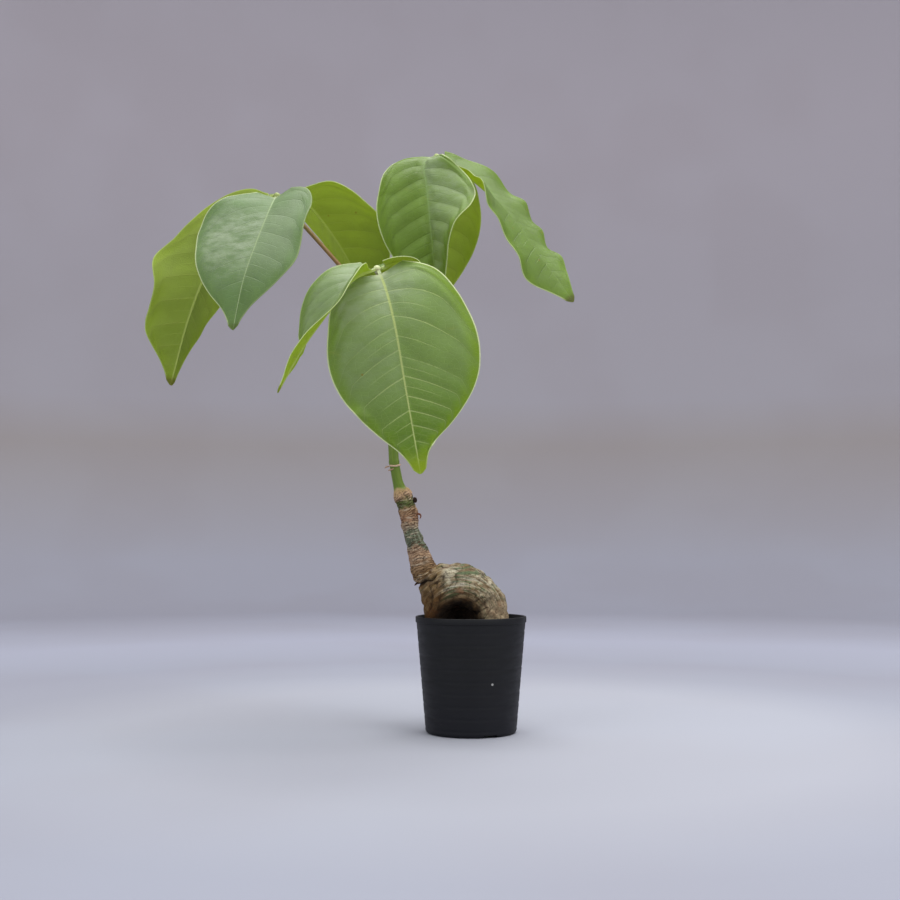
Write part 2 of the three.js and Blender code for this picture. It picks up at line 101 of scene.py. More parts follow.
class Finish:
    """A material under construction. Each method adds a node and gives back its output."""

    def __init__(self, name, roughness=0.5, gloss=0.5):
        self.material = bpy.data.materials.new(name)
        self.material.use_nodes = True
        self.tree = self.material.node_tree
        self.shader = self.tree.nodes["Principled BSDF"]
        self.shader.inputs["Roughness"].default_value = roughness
        self.shader.inputs["Specular IOR Level"].default_value = gloss
        self.place = self.node("TexCoord", out="Object")

    def node(self, kind, inputs=(), out=0, **settings):
        made = self.tree.nodes.new("ShaderNode" + kind)
        for key, value in settings.items():
            setattr(made, key, value)
        for key, value in inputs.items() if isinstance(inputs, dict) else enumerate(inputs):
            self.plug(value, made.inputs[key])
        return made.outputs[out]

    def plug(self, value, socket):
        if isinstance(value, bpy.types.NodeSocket):
            self.tree.links.new(value, socket)
        elif value is not None:
            socket.default_value = value

    def maths(self, operation, *values, clamp=False):
        return self.node("Math", values, operation=operation, use_clamp=clamp)

    def times(self, first, second):
        return self.maths("MULTIPLY", first, second)

    def mix(self, share, first, second, blend="MIX"):
        return self.node("Mix", {0: share, 6: first, 7: second}, out=2, data_type="RGBA", blend_type=blend)

    def step(self, value, start, end, low=0.0, high=1.0):
        """A smooth step of the value: low at start, high at end."""
        sockets = (value, start, end, low, high)
        return self.node("MapRange", sockets, interpolation_type="SMOOTHSTEP")

    def axis(self, name, place=None):
        """One coordinate of a place: X, Y or Z."""
        return self.node("SeparateXYZ", [place or self.place], out=name)

    def stretched(self, scale, place=None):
        return self.node("Mapping", {"Vector": place or self.place, "Scale": scale})

    def noise(self, scale, detail=4.0, roughness=0.55, place=None, distortion=0.0):
        sockets = {
            "Vector": place or self.place,
            "Scale": scale,
            "Detail": detail,
            "Roughness": roughness,
            "Distortion": distortion,
        }
        return self.node("TexNoise", sockets)

    def drawn_out(self, scale, place=None, **settings):
        """Noise that is drawn out along the piece, with a scale for each direction."""
        return self.noise(1, place=self.stretched(scale, place), **settings)

    def cells(self, scale, feature="F1", out="Distance", place=None, dimensions="3D"):
        sockets = {"Vector": place or self.place, "Scale": scale}
        return self.node("TexVoronoi", sockets, out=out, feature=feature, voronoi_dimensions=dimensions)

    def attribute(self, name, out="Fac"):
        return self.node("Attribute", out=out, attribute_name=name)

    def ramp(self, value, stops):
        ramp = self.node("ValToRGB", {"Fac": value})
        elements = ramp.node.color_ramp.elements
        while len(elements) < len(stops):
            elements.new(1.0)
        for element, (position, colour) in zip(elements, stops):
            element.position = position
            element.color = colour
        return ramp

    def bump(self, height, distance, strength=1.0, under=None):
        sockets = {"Height": height, "Distance": distance, "Strength": strength, "Normal": under}
        return self.node("Bump", sockets)

    def finish(self, **sockets):
        for name, value in sockets.items():
            self.plug(value, self.shader.inputs[name.replace("_", " ")])
        return self.material

    def let_light_through(self, share, colour, normal=None):
        """Mixes in light that passes through a thin blade."""
        through = self.node("BsdfTranslucent", {"Color": colour, "Normal": normal})
        mixed = self.node("MixShader", (share, self.shader.outputs[0], through))
        self.plug(mixed, self.tree.nodes["Material Output"].inputs["Surface"])
        return self.material


def settle(mesh, name, slot, *materials, sharp=40):
    """The finished bmesh as a piece of the model, with smooth faces and its hard edges kept."""
    made = bpy.data.meshes.new(name)
    mesh.to_mesh(made)
    mesh.free()
    return settle_mesh(made, name, slot, *materials, sharp=sharp)


def settle_mesh(made, name, slot, *materials, sharp=40):
    for material in materials:
        made.materials.append(material)
    made.polygons.foreach_set("use_smooth", [True] * len(made.polygons))
    made.set_sharp_from_angle(angle=math.radians(sharp))
    piece = bpy.data.objects.new(name, made)
    bpy.context.scene.collection.objects.link(piece)
    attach(piece, "root")
    return piece


def pot_radius(z):
    return POT_BASE + (POT_RIM - LIP_STEP - POT_BASE) * z / (POT_HEIGHT - LIP_HEIGHT)


def pot_inside(z):
    return pot_radius(z) - POT_WALL


def ring(z):
    """How far the wall dips at a height, where one of the turned rings runs."""
    away = abs((z / RING_PITCH) % 1 - 0.5) * RING_PITCH
    return RING_DEPTH * math.exp(-((away / RING_SPREAD) ** 2))


def pot_profile():
    under_lip = POT_HEIGHT - LIP_HEIGHT
    outline = [(0, 0), (12 * MM, 0), (DRAIN_CIRCLE, 0), (POT_BASE - FOOT_ROUNDING, 0)]
    for turn in (math.radians(30), math.radians(60)):
        radius = POT_BASE - FOOT_ROUNDING * (1 - math.sin(turn))
        outline.append((radius, FOOT_ROUNDING * (1 - math.cos(turn))))
    z = FOOT_ROUNDING
    while z < under_lip - 0.6 * MM:
        outline.append((pot_radius(z) - ring(z), z))
        z += WALL_ROW
    outline += [
        (pot_radius(under_lip), under_lip),
        (POT_RIM - 0.15 * MM, under_lip + 0.3 * MM),
        (POT_RIM, under_lip + LIP_STEP),
        (POT_RIM, POT_HEIGHT - RIM_ROUNDING),
        (POT_RIM - 0.3 * RIM_ROUNDING, POT_HEIGHT - 0.3 * RIM_ROUNDING),
        (POT_RIM - RIM_ROUNDING, POT_HEIGHT),
        (pot_inside(POT_HEIGHT) + RIM_ROUNDING, POT_HEIGHT),
        (pot_inside(POT_HEIGHT) + 0.3 * RIM_ROUNDING, POT_HEIGHT - 0.3 * RIM_ROUNDING),
        (pot_inside(POT_HEIGHT - RIM_ROUNDING), POT_HEIGHT - RIM_ROUNDING),
        (pot_inside(POT_HEIGHT * 0.5), POT_HEIGHT * 0.5),
        (pot_inside(POT_FLOOR + MM), POT_FLOOR + MM),
        (pot_inside(POT_FLOOR) - MM, POT_FLOOR),
        (0, POT_FLOOR),
    ]
    return outline


def turned(outline, sides):
    """A profile of (radius, height) points turned about the vertical axis."""
    mesh = bmesh.new()
    points = [mesh.verts.new((radius, 0, height)) for radius, height in outline]
    edges = [mesh.edges.new(pair) for pair in zip(points, points[1:])]
    bmesh.ops.spin(
        mesh,
        geom=points + edges,
        cent=(0, 0, 0),
        axis=(0, 0, 1),
        angle=math.tau,
        steps=sides,
        use_merge=True,
    )
    bmesh.ops.remove_doubles(mesh, verts=mesh.verts, dist=WELD)
    bmesh.ops.recalc_face_normals(mesh, faces=mesh.faces)
    return mesh


def scene_object(mesh, name):
    data = bpy.data.meshes.new(name)
    mesh.to_mesh(data)
    mesh.free()
    made = bpy.data.objects.new(name, data)
    bpy.context.scene.collection.objects.link(made)
    return made


def evaluated(source):
    """The object's mesh with its modifiers applied. The object itself is then removed."""
    bpy.context.view_layer.update()
    made = bpy.data.meshes.new_from_object(source.evaluated_get(bpy.context.evaluated_depsgraph_get()))
    bpy.data.objects.remove(source)
    return made


def pot_cutters():
    """The grooves and the drain holes, each as one tool."""
    grooves, holes = bmesh.new(), bmesh.new()
    length, width, height = GROOVE_SIZE
    for i in range(3):
        bearing = GROOVE_BEARING + i * math.tau / 3
        place = (
            Matrix.Rotation(bearing, 4, "Z")
            @ Matrix.Translation((DRAIN_CIRCLE + length / 2, 0, 0))
            @ Matrix.Diagonal((length, width, height, 1))
        )
        bmesh.ops.create_cube(grooves, size=1, matrix=place)
        for turn in (bearing, bearing + math.pi / 3):
            centre = (DRAIN_CIRCLE * math.cos(turn), DRAIN_CIRCLE * math.sin(turn), 0)
            bmesh.ops.create_cone(
                holes,
                segments=28,
                cap_ends=True,
                radius1=DRAIN_RADIUS,
                radius2=DRAIN_RADIUS,
                depth=4 * POT_FLOOR,
                matrix=Matrix.Translation(centre),
            )
    bmesh.ops.bevel(
        grooves,
        geom=[e for e in grooves.edges if abs((e.verts[0].co - e.verts[1].co).normalized().z) < 0.5],
        offset=GROOVE_ROUNDING,
        segments=3,
        profile=0.5,
        affect="EDGES",
        material=-1,
    )
    return [scene_object(grooves, "grooves"), scene_object(holes, "holes")]


def pot_plastic():
    finish = Finish("black_plastic", gloss=0.28)
    mottled = finish.noise(90, detail=5)
    colour = finish.mix(mottled, srgb(14, 15, 18), srgb(20, 21, 24))
    height = finish.axis("Z")
    turn = finish.times(height, math.tau / RING_PITCH)
    rings = finish.step(finish.maths("SINE", turn), -0.2, 1.0)
    colour = finish.mix(finish.times(rings, 0.35), colour, srgb(9, 10, 12))
    # painted reflection: a bluish sheen on the lower wall, strongest at the foot
    colour = finish.mix(finish.step(height, 60 * MM, 0, 0, 0.5), colour, srgb(17, 18, 28))
    dust_spots = finish.step(finish.cells(420), 0.05, 0.11, 1, 0)
    few = finish.step(finish.noise(60, detail=1), 0.66, 0.72)
    dust = finish.times(dust_spots, few)
    colour = finish.mix(finish.times(dust, 0.6), colour, srgb(150, 148, 142))
    # one fleck of lime that a splash has left on the front
    from_fleck = finish.node("VectorMath", [finish.place, FLECK_PLACE], out="Value", operation="DISTANCE")
    fleck = finish.step(from_fleck, FLECK_RADIUS + FLECK_BLUR, FLECK_RADIUS - FLECK_BLUR, 0, 0.85)
    colour = finish.mix(fleck, colour, srgb(176, 176, 172))
    scuffs = finish.drawn_out((90, 90, 320), detail=5)
    roughness = finish.step(scuffs, 0.3, 0.7, 0.5, 0.6)
    grain = finish.noise(1500, detail=2)
    normal = finish.bump(grain, 0.04 * MM, 0.5, finish.bump(scuffs, 0.05 * MM, 0.4))
    return finish.finish(Base_Color=colour, Roughness=roughness, Normal=normal)


pot_blank = scene_object(turned(pot_profile(), POT_SIDES), "pot_blank")
cutters = pot_cutters()
for cutter in cutters:
    cut = pot_blank.modifiers.new("cut", "BOOLEAN")
    cut.object = cutter
    cut.operation = "DIFFERENCE"
    cut.solver = "EXACT"
pot_mesh = evaluated(pot_blank)
for cutter in cutters:
    bpy.data.objects.remove(cutter)
black_plastic = pot_plastic()
nursery_pot = settle_mesh(pot_mesh, "nursery_pot", "pot", black_plastic, sharp=35)
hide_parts("pot")


# The soil: a dark potting mix of bark, grit and pumice, poured in to just under the pot's lip. It is a disc
# of lumpy ground, drawn down along the pot's wall, and the loose grains on it are small broken stones.
soil_low, soil_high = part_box("soil")
SOIL_TOP = 88 * MM
SOIL_RADIUS = soil_high.x
SOIL_BOTTOM = soil_low.z
SOIL_CELLS = 104
SOIL_CLEARANCE = 0.3 * MM
FALL_AT_WALL = 14
caudex_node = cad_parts["caudex_and_stem"]


def lumps(x, y):
    """The height of the ground at a place: broad hollows, crumbs and single grains of grit."""
    spot = Vector((x, y, 0.0)) / MM
    broad = noise.noise(spot * 0.07) * 1.1
    crumbs = 0.75 - noise.voronoi(spot * 0.36)[0][0]
    grit = 0.6 - noise.voronoi(spot * 0.8 + Vector((9, 4, 2)))[0][0]
    return (broad + 0.9 * crumbs + 0.45 * grit) * MM


def soil_ground():
    mesh = bmesh.new()
    bmesh.ops.create_grid(mesh, x_segments=SOIL_CELLS, y_segments=SOIL_CELLS, size=1)
    for vertex in mesh.verts:
        x, y = vertex.co.x, vertex.co.y
        reach = Vector((x * math.sqrt(1 - y * y / 2), y * math.sqrt(1 - x * x / 2))) * SOIL_RADIUS
        flat = min(1, (1 - reach.length / SOIL_RADIUS) * FALL_AT_WALL)
        vertex.co = (reach.x, reach.y, SOIL_TOP + flat * lumps(reach.x, reach.y))
    rim = [e for e in mesh.edges if e.is_boundary]
    wall = bmesh.ops.extrude_edge_only(mesh, edges=rim)["geom"]
    narrower = (pot_inside(SOIL_BOTTOM) - SOIL_CLEARANCE) / SOIL_RADIUS
    for vertex in (v for v in wall if isinstance(v, bmesh.types.BMVert)):
        vertex.co = (vertex.co.x * narrower, vertex.co.y * narrower, SOIL_BOTTOM)
    bmesh.ops.contextual_create(mesh, geom=[e for e in wall if isinstance(e, bmesh.types.BMEdge)])
    bmesh.ops.recalc_face_normals(mesh, faces=mesh.faces)
    return mesh


def ground_mix():
    finish = Finish("potting_mix", roughness=0.95)
    crumbs = finish.cells(520, out="Color")
    tone = finish.node("SeparateColor", {"Color": crumbs})
    shades = [
        (0.0, srgb(26, 20, 15)),
        (0.45, srgb(48, 37, 28)),
        (0.78, srgb(70, 56, 42)),
        (0.93, srgb(128, 118, 104)),
        (1.0, srgb(168, 160, 146)),
    ]
    colour = finish.mix(finish.noise(150, detail=4), finish.ramp(tone, shades), srgb(38, 29, 22))
    normal = finish.bump(finish.cells(520), 0.5 * MM, 0.6, finish.bump(finish.noise(900), 0.3 * MM))
    return finish.finish(Base_Color=colour, Normal=normal)


soil_mix = settle(soil_ground(), "soil_mix", "soil", ground_mix(), sharp=60)
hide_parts("soil")

GRAINS = 420
GRAIN_SEED = 11
GRAIN_RADII = (0.6, 2.3, 1.0)  # the least, the greatest and the usual one, in millimetres
GRAIN_MARGIN = 2.5 * MM
draw = random.Random(GRAIN_SEED)


def grains():
    """Small broken stones, half sunk in the ground, clear of the roots and of the pot."""
    mesh = bmesh.new()
    tone = mesh.verts.layers.float.new("tone")
    placed = 0
    while placed < GRAINS:
        bearing = draw.uniform(0, math.tau)
        away = math.sqrt(draw.random()) * (SOIL_RADIUS - GRAIN_MARGIN)
        size = draw.triangular(*GRAIN_RADII) * MM
        shade = draw.random()
        x, y = away * math.cos(bearing), away * math.sin(bearing)
        centre = Vector((x, y, SOIL_TOP + lumps(x, y) + 0.2 * size))
        _, nearest, outward, _ = caudex_node.closest_point_on_mesh(centre)
        if (centre - nearest).dot(outward) < size:
            continue
        turn = Matrix.Rotation(draw.uniform(0, math.tau), 4, Vector((draw.random(), draw.random(), 1)))
        squash = Matrix.Diagonal((1, draw.uniform(0.6, 1), draw.uniform(0.5, 0.85), 1))
        stone = bmesh.ops.create_icosphere(
            mesh, subdivisions=1, radius=size, matrix=Matrix.Translation(centre) @ turn @ squash
        )
        for vertex in stone["verts"]:
            vertex.co += (vertex.co - centre) * draw.uniform(-0.18, 0.18)
            vertex[tone] = shade
        placed += 1
    return mesh


def grit_finish():
    finish = Finish("grit", roughness=0.9)
    shades = [
        (0.0, srgb(34, 28, 24)),
        (0.4, srgb(66, 54, 44)),
        (0.62, srgb(104, 88, 68)),
        (0.8, srgb(142, 134, 118)),
        (1.0, srgb(188, 184, 172)),
    ]
    colour = finish.ramp(finish.attribute("tone"), shades)
    colour = finish.mix(finish.noise(700, detail=5), colour, srgb(60, 50, 40))
    normal = finish.bump(finish.noise(1200, detail=4), 0.2 * MM)
    return finish.finish(Base_Color=colour, Normal=normal)


settle(grains(), "soil_grains", "soil", grit_finish(), sharp=25)


# The caudex and stem: one living piece of wood. The humped foot stands on three roots and is ribbed with pale
# corky ridges, the trunk is ringed with old bark, and this year's shoot above it is smooth and green. The
# solid's surface is remeshed evenly, and the bark is raised on it.
TRUNK_POINTS = [  # the trunk's own line, in millimetres, as in the solids
    (-22, 1, 104),
    (-36, 0, 125),
    (-42.5, 0, 144),
    (-48.9, 0, 163),
    (-52, 1, 181),
    (-58.5, 1, 197.5),
    (-62, 0, 212),
    (-63.8, 0, 230),
    (-66, 1, 270),
    (-67.5, 1, 311),
    (-68.3, 0, 350),
]
# where the bark of the trunk starts and ends, along it, and its usual radius, in millimetres
COLLAR = 24
BARK_END = 97
TRUNK_RADIUS = 7
# how much of the relief that is worked out below is raised
BARK_RELIEF = 0.8
STEM_VOXEL = 0.8 * MM
SMOOTHING_ROUNDS = 3
PATH_SAMPLES = 300
# the hollow between the roots, in millimetres
HOLLOW_CENTRE = Vector((-10, -22, 88))
HOLLOW_RADII = Vector((17, 26, 16))


class SmoothPath:
    """The smooth curve through a list of points: a centripetal Catmull-Rom curve, as the solids use."""

    def __init__(self, points):
        self.points = [Vector(p) for p in points]
        self.samples = [self.at(i / PATH_SAMPLES) for i in range(PATH_SAMPLES + 1)]
        self.distances = [0.0]
        for one, other in zip(self.samples, self.samples[1:]):
            self.distances.append(self.distances[-1] + (other - one).length)
        self.length = self.distances[-1]

    def at(self, share):
        """The point at a share of the way, counted by points."""
        points = self.points
        last = len(points) - 1
        position = min(max(share, 0.0), 1.0) * last
        i = min(int(position), last - 1)
        weight = position - i
        p1, p2 = points[i], points[i + 1]
        p0 = points[i - 1] if i > 0 else 2 * p1 - p2
        p3 = points[i + 2] if i + 2 <= last else 2 * p2 - p1
        d0, d1, d2 = (max((b - a).length, 1e-9) ** 0.5 for a, b in ((p0, p1), (p1, p2), (p2, p3)))
        start = ((p1 - p0) / d0 - (p2 - p0) / (d0 + d1) + (p2 - p1) / d1) * d1
        end = ((p2 - p1) / d1 - (p3 - p1) / (d1 + d2) + (p3 - p2) / d2) * d1
        square, cube = weight**2, weight**3
        return (
            p1
            + start * weight
            + (3 * (p2 - p1) - 2 * start - end) * square
            + (2 * (p1 - p2) + start + end) * cube
        )

    def along(self, share):
        """The point at a share of the length."""
        distance = min(max(share, 0.0), 1.0) * self.length
        low, high = 0, len(self.distances) - 1
        while high - low > 1:
            middle = (low + high) // 2
            if self.distances[middle] <= distance:
                low = middle
            else:
                high = middle
        step = self.distances[high] - self.distances[low]
        return self.samples[low].lerp(self.samples[high], (distance - self.distances[low]) / step)

    def heading(self, share, step=0.004):
        return (self.along(share + step) - self.along(share - step)).normalized()


trunk_path = SmoothPath(TRUNK_POINTS)
TRUNK_STEPS = int(trunk_path.length)
trunk_tree = kdtree.KDTree(TRUNK_STEPS + 1)
for i in range(TRUNK_STEPS + 1):
    trunk_tree.insert(trunk_path.along(i / TRUNK_STEPS), i)
trunk_tree.balance()


def ease(value, start, end):
    """0 up to start and 1 from end, smoothly. Start may be the larger one."""
    share = min(max((value - start) / (end - start), 0.0), 1.0)
    return share * share * (3 - 2 * share)


def trunk_sides(share):
    """The trunk's own directions at a place: along it, across it to the right, and to the back."""
    heading = trunk_path.heading(share)
    across = (Vector((1, 0, 0)) - heading * heading.x).normalized()
    return heading, across, heading.cross(across)


def on_trunk(place):
    """How far along the trunk a point lies, its bearing round it, and how far from its middle."""
    nearest, index, _ = trunk_tree.find(place)
    heading, across, behind = trunk_sides(index / TRUNK_STEPS)
    out = place - nearest
    distance = index * trunk_path.length / TRUNK_STEPS + out.dot(heading)
    out -= heading * out.dot(heading)
    return distance, math.atan2(out.dot(behind), out.dot(across)), out.length


def ridged(spot):
    return 1 - 2 * abs(noise.noise(spot))


def round_hollow(p):
    """A point of the caudex by its ridges, which arch over the hollow: across them, along them, and deep."""
    return Vector((math.hypot(p.x - HOLLOW_CENTRE.x, p.z - HOLLOW_CENTRE.z), 0.7 * (p.x - p.z), p.y))


# cracks on the caudex's front: (x, z) points along each, and its half width
CRACKS = [
    ([(-20.5, 129.5), (-22, 127), (-22.7, 123.5), (-21.8, 121), (-23.6, 117.5)], 0.9),
    ([(-24.4, 113), (-25.4, 106), (-26.5, 98)], 0.5),
    ([(-12.4, 127), (-11.6, 124), (-12.2, 120)], 0.55),
    ([(13, 106.5), (9, 102.6), (4.6, 99.4), (2.5, 94)], 1.5),
    ([(4, 106), (9, 108.5), (15, 108)], 0.6),
    ([(-33, 118), (-31, 109), (-32.5, 99)], 0.55),
    ([(1, 129.5), (6, 127), (13, 121)], 0.4),
]
# stains on the front: (x, z, radius, amount), where green is above zero and chalky white is below
STAINS = [
    (-27.5, 125, 2.4, -0.8),
    (-31, 122.4, 2.6, -0.7),
    (-36.3, 119.8, 2.4, -0.6),
    (-19.5, 127, 4.2, -1.0),
    (-15, 130.5, 3.4, -0.7),
    (15.5, 120.5, 4.2, -1.0),
    (8.5, 124.5, 3.6, -0.6),
    (-8.5, 121.5, 3.0, -0.5),
    (-16.5, 122.5, 3.0, -0.8),
    (22, 112, 3.6, -0.5),
    (-25, 135, 3.4, 0.8),
    (-13, 133.5, 3.2, 0.7),
    (-6.5, 129, 3.6, 0.6),
    (1.5, 129, 3.4, 0.6),
    (-11.7, 124, 2.4, 0.8),
    (-16, 110.5, 4.2, 0.9),
    (12, 127, 3.6, 0.8),
    (20, 119.5, 3.2, 0.7),
    (26, 108, 3.6, 0.7),
    (-3, 117, 3.0, 0.6),
]
# where the caudex swells beyond the solid, or stays within it: (centre, reach, height)
SWELLINGS = [
    (Vector((-2, 0, 137)), 9, 1.2),
    (Vector((3, 0, 133)), 8, 4.2),
    (Vector((14, 0, 127)), 7, 2.2),
    (Vector((-17, 0, 137)), 5, -2.8),
    (Vector((24, 0, 117)), 10, -4.2),
    (Vector((31, 0, 93)), 8, 3.0),
    (Vector((-41, 0, 117)), 8, 2.0),
    (Vector((-26, 0, 137)), 5, 3.6),
    (Vector((-40, 0, 98)), 8, -1.8),
]


def off_line(spot, points):
    """How far a place on the front is from a line of (x, z) points."""
    nearest = math.inf
    for start, end in zip(points, points[1:]):
        one = Vector(start)
        run = Vector(end) - one
        share = min(max((spot - one).dot(run) / run.length_squared, 0.0), 1.0)
        nearest = min(nearest, (spot - one - run * share).length)
    return nearest


def caudex_relief(p):
    """Corky ridges, knobs and cracks, where the ridges arch over the hollow: (height, crevice, stain)."""
    across, along, deep = round_hollow(p)
    drift = 0.75 * noise.noise(p * 0.07) + 0.3 * noise.noise(p * 0.16)
    drift += 0.9 * ease(p.z, 122, 106) * noise.noise(p * 0.1 + Vector((6, 2, 9)))
    fibres = ridged(Vector((across * 0.17 + drift, along * 0.03, deep * 0.03)))
    threads = ridged(Vector((across * 0.47 + 1.5 * drift, along * 0.06 + 7, deep * 0.06)))
    knobs = noise.noise(p * 0.13 + Vector((3, 1, 5)))
    check = abs(noise.noise(Vector((along * 0.13 + 2, deep * 0.13, across * 0.04))))
    crack = ease(check, 0.05, 0.0) * ease(noise.noise(p * 0.06 + Vector((8, 8, 8))), -0.1, 0.2)
    swelling = sum(height * math.exp(-(((p - at).length / reach) ** 2)) for at, reach, height in SWELLINGS)
    stain = 0.0
    if p.y < 4:
        spot = Vector((p.x + noise.noise(p * 0.35), p.z + noise.noise(p * 0.35 + Vector((4, 4, 4)))))
        for line, width in CRACKS:
            crack = max(crack, 0.7 * ease(off_line(spot, line), 1.9 * width, 0.1 * width))
        for x, z, radius, amount in STAINS:
            stain += amount * math.exp(-(((spot - Vector((x, z))).length / radius) ** 2))
    height = 0.75 * fibres + 0.5 * threads + 0.9 * knobs - 1.3 * crack + swelling
    crevice = 0.5 * ease(fibres, 0.1, -0.5) + 0.4 * ease(threads, -0.1, -0.7) + crack
    return height, min(crevice, 1.0), stain


# leaf scars: how far along the trunk, their bearing and their radius
SCARS = [(97.5, -1.75, 2.2), (96.0, -1.1, 1.5), (99, -0.55, 1.4), (90, -0.35, 1.2), (72, -2.3, 1.1)]
# the bark has swollen and split into thick rings at these places: (along, half length, height)
BULGES = [
    (26.5, 2.2, 1.4),
    (32, 4.5, 0.9),
    (41, 4.0, 0.5),
    (48.5, 3.0, 0.5),
    (69, 2.0, 0.5),
    (75, 2.2, 0.5),
    (80.5, 2.5, 0.6),
    (86, 1.7, 0.4),
]
# the bark is still green and fairly smooth here: (start, full from, full to, end)
GREEN_STRETCHES = [(50, 53, 64, 67), (84, 86, 89.5, 91.5)]


def bark_relief(p, distance, turn):
    """Old bark: uneven rings, a corky collar with upright cracks, and leaf scars, as (height, crevice)."""
    wander = 1.6 * noise.noise(Vector((math.cos(turn), math.sin(turn), distance * 0.06)) * 1.4)
    slant = 1.4 * math.sin(turn + 0.8)
    rings = ridged(Vector((distance * 0.19 + 0.5 * wander + 0.1 * slant, 2.0, 0.5 * wander)))
    fine_rings = ridged(Vector((distance * 0.5 + 0.8 * wander + 0.3 * slant, 5.0, wander)))
    lobes = noise.noise(p * 0.16)
    cork = ease(distance, 45, 30)
    upright = ridged(Vector((math.cos(turn) * 2.6, math.sin(turn) * 2.6, distance * 0.05)))
    green = sum(ease(distance, a, b) * ease(distance, d, c) for a, b, c, d in GREEN_STRETCHES)
    height = (1 - 0.7 * green) * (0.55 * rings + 0.5 * fine_rings) + 0.5 * lobes + 0.4 * cork * upright
    for along, spread, rise in BULGES:
        height += rise * math.exp(-(((distance + slant - along) / spread) ** 2))
    crevice = (1 - green) * (0.6 * ease(rings, 0.1, -0.5) + 0.6 * ease(fine_rings, 0.0, -0.7))
    crevice += 0.5 * cork * ease(upright, 0.0, -0.7) + 0.1 * green * ease(upright, 0.3, -0.5)
    for along, bearing, radius in SCARS:
        aside = ((turn - bearing + math.pi) % math.tau - math.pi) * TRUNK_RADIUS
        away = math.hypot(distance - along, aside) / radius
        height += 0.8 * math.exp(-(((away - 1) / 0.35) ** 2)) - 0.7 * math.exp(-((away / 0.6) ** 2))
        crevice += 1.3 * math.exp(-((away / 0.55) ** 2))
    return height, min(crevice, 1.0)


def torn_collar(distance, turn, out):
    """The torn edge where the trunk leaves the caudex: how far it is split, and how open its crack is."""
    torn = COLLAR - 1.4 + 1.3 * noise.noise(Vector((math.cos(turn), math.sin(turn), 0)) * 2.2)
    beside = ease(out, 17.5, 14)
    facing = math.cos(turn + 2.2)
    split = math.exp(-(((distance - torn) / 1.6) ** 2)) * beside * ease(distance, 10, 18)
    split *= 0.35 + 0.65 * ease(facing, -0.2, 0.5)
    crack = math.exp(-(((distance - torn) / 0.75) ** 2)) * beside
    return split, crack * ease(facing, 0.0, 0.5)


def hollow_shade(p):
    """How much painted shade darkens the hollow between the roots. Its edge is sharper on the right."""
    inside = p - HOLLOW_CENTRE
    inside += Vector((1, 1, 1)) * (5 * noise.noise(p * 0.14) + 4 * noise.noise(p * 0.3))
    depth = Vector((inside.x / HOLLOW_RADII.x, inside.y / HOLLOW_RADII.y, inside.z / HOLLOW_RADII.z)).length
    on_right = ease(p.x, -4, 6)
    dim = 0.4 * ease(depth, 1.6 - 0.4 * on_right, 1.1)
    return dim + 0.6 * ease(depth, 1.25 - 0.18 * on_right, 0.98)


def woody_stem():
    """The solid's own surface, evenly remeshed, with the relief of its bark raised on it."""
    copy = bmesh.new()
    copy.from_mesh(caudex_node.data)
    bmesh.ops.remove_doubles(copy, verts=copy.verts, dist=WELD)
    blank = scene_object(copy, "stem_blank")
    remesh = blank.modifiers.new("even", "REMESH")
    remesh.mode = "VOXEL"
    remesh.voxel_size = STEM_VOXEL
    mesh = bmesh.new()
    made = evaluated(blank)
    mesh.from_mesh(made)
    bpy.data.meshes.remove(made)
    for _ in range(SMOOTHING_ROUNDS):
        bmesh.ops.smooth_vert(
            mesh, verts=mesh.verts, factor=0.5, use_axis_x=True, use_axis_y=True, use_axis_z=True
        )
    layers = mesh.verts.layers
    numbers = {name: layers.float.new(name) for name in ("trunk", "ring", "crevice", "hollow", "stain")}
    places = {name: layers.float_vector.new(name) for name in ("round_trunk", "over_caudex")}
    mesh.normal_update()
    moves = []
    for vertex in mesh.verts:
        p = vertex.co / MM
        distance, turn, out = on_trunk(p)
        trunk = ease(distance, COLLAR - 0.5, COLLAR + 1.5) * ease(out, 13.0, 11.5)
        height, crevice, stain = caudex_relief(p)
        if trunk > 0:
            bark_height, bark_crevice = bark_relief(p, distance, turn)
            edge = 2 * math.sin(turn + 0.5)
            shoot = ease(distance, BARK_END - 1 + edge, BARK_END + 3 + edge)
            bark_height = bark_height * (1 - shoot) + 0.06 * math.sin(turn * 9) * shoot
            bark_crevice *= 1 - shoot
            height = height * (1 - trunk) + bark_height * trunk
            crevice = crevice * (1 - trunk) + bark_crevice * trunk
        split, crack = torn_collar(distance, turn, out)
        height -= 2.6 * split + 1.6 * crack
        vertex[numbers["trunk"]] = trunk
        vertex[numbers["ring"]] = distance
        vertex[numbers["crevice"]] = min(1.0, crevice + 0.7 * split)
        # painted shade in the hollow and along the torn crack at the collar
        vertex[numbers["hollow"]] = max(hollow_shade(p) * (1 - trunk), crack)
        vertex[numbers["stain"]] = stain * (1 - trunk)
        around = (TRUNK_RADIUS * math.cos(turn), TRUNK_RADIUS * math.sin(turn))
        vertex[places["round_trunk"]] = Vector((distance, *around))
        vertex[places["over_caudex"]] = round_hollow(p)
        moves.append(vertex.normal * height * BARK_RELIEF * MM)
    for vertex, move in zip(mesh.verts, moves):
        vertex.co += move
    return mesh


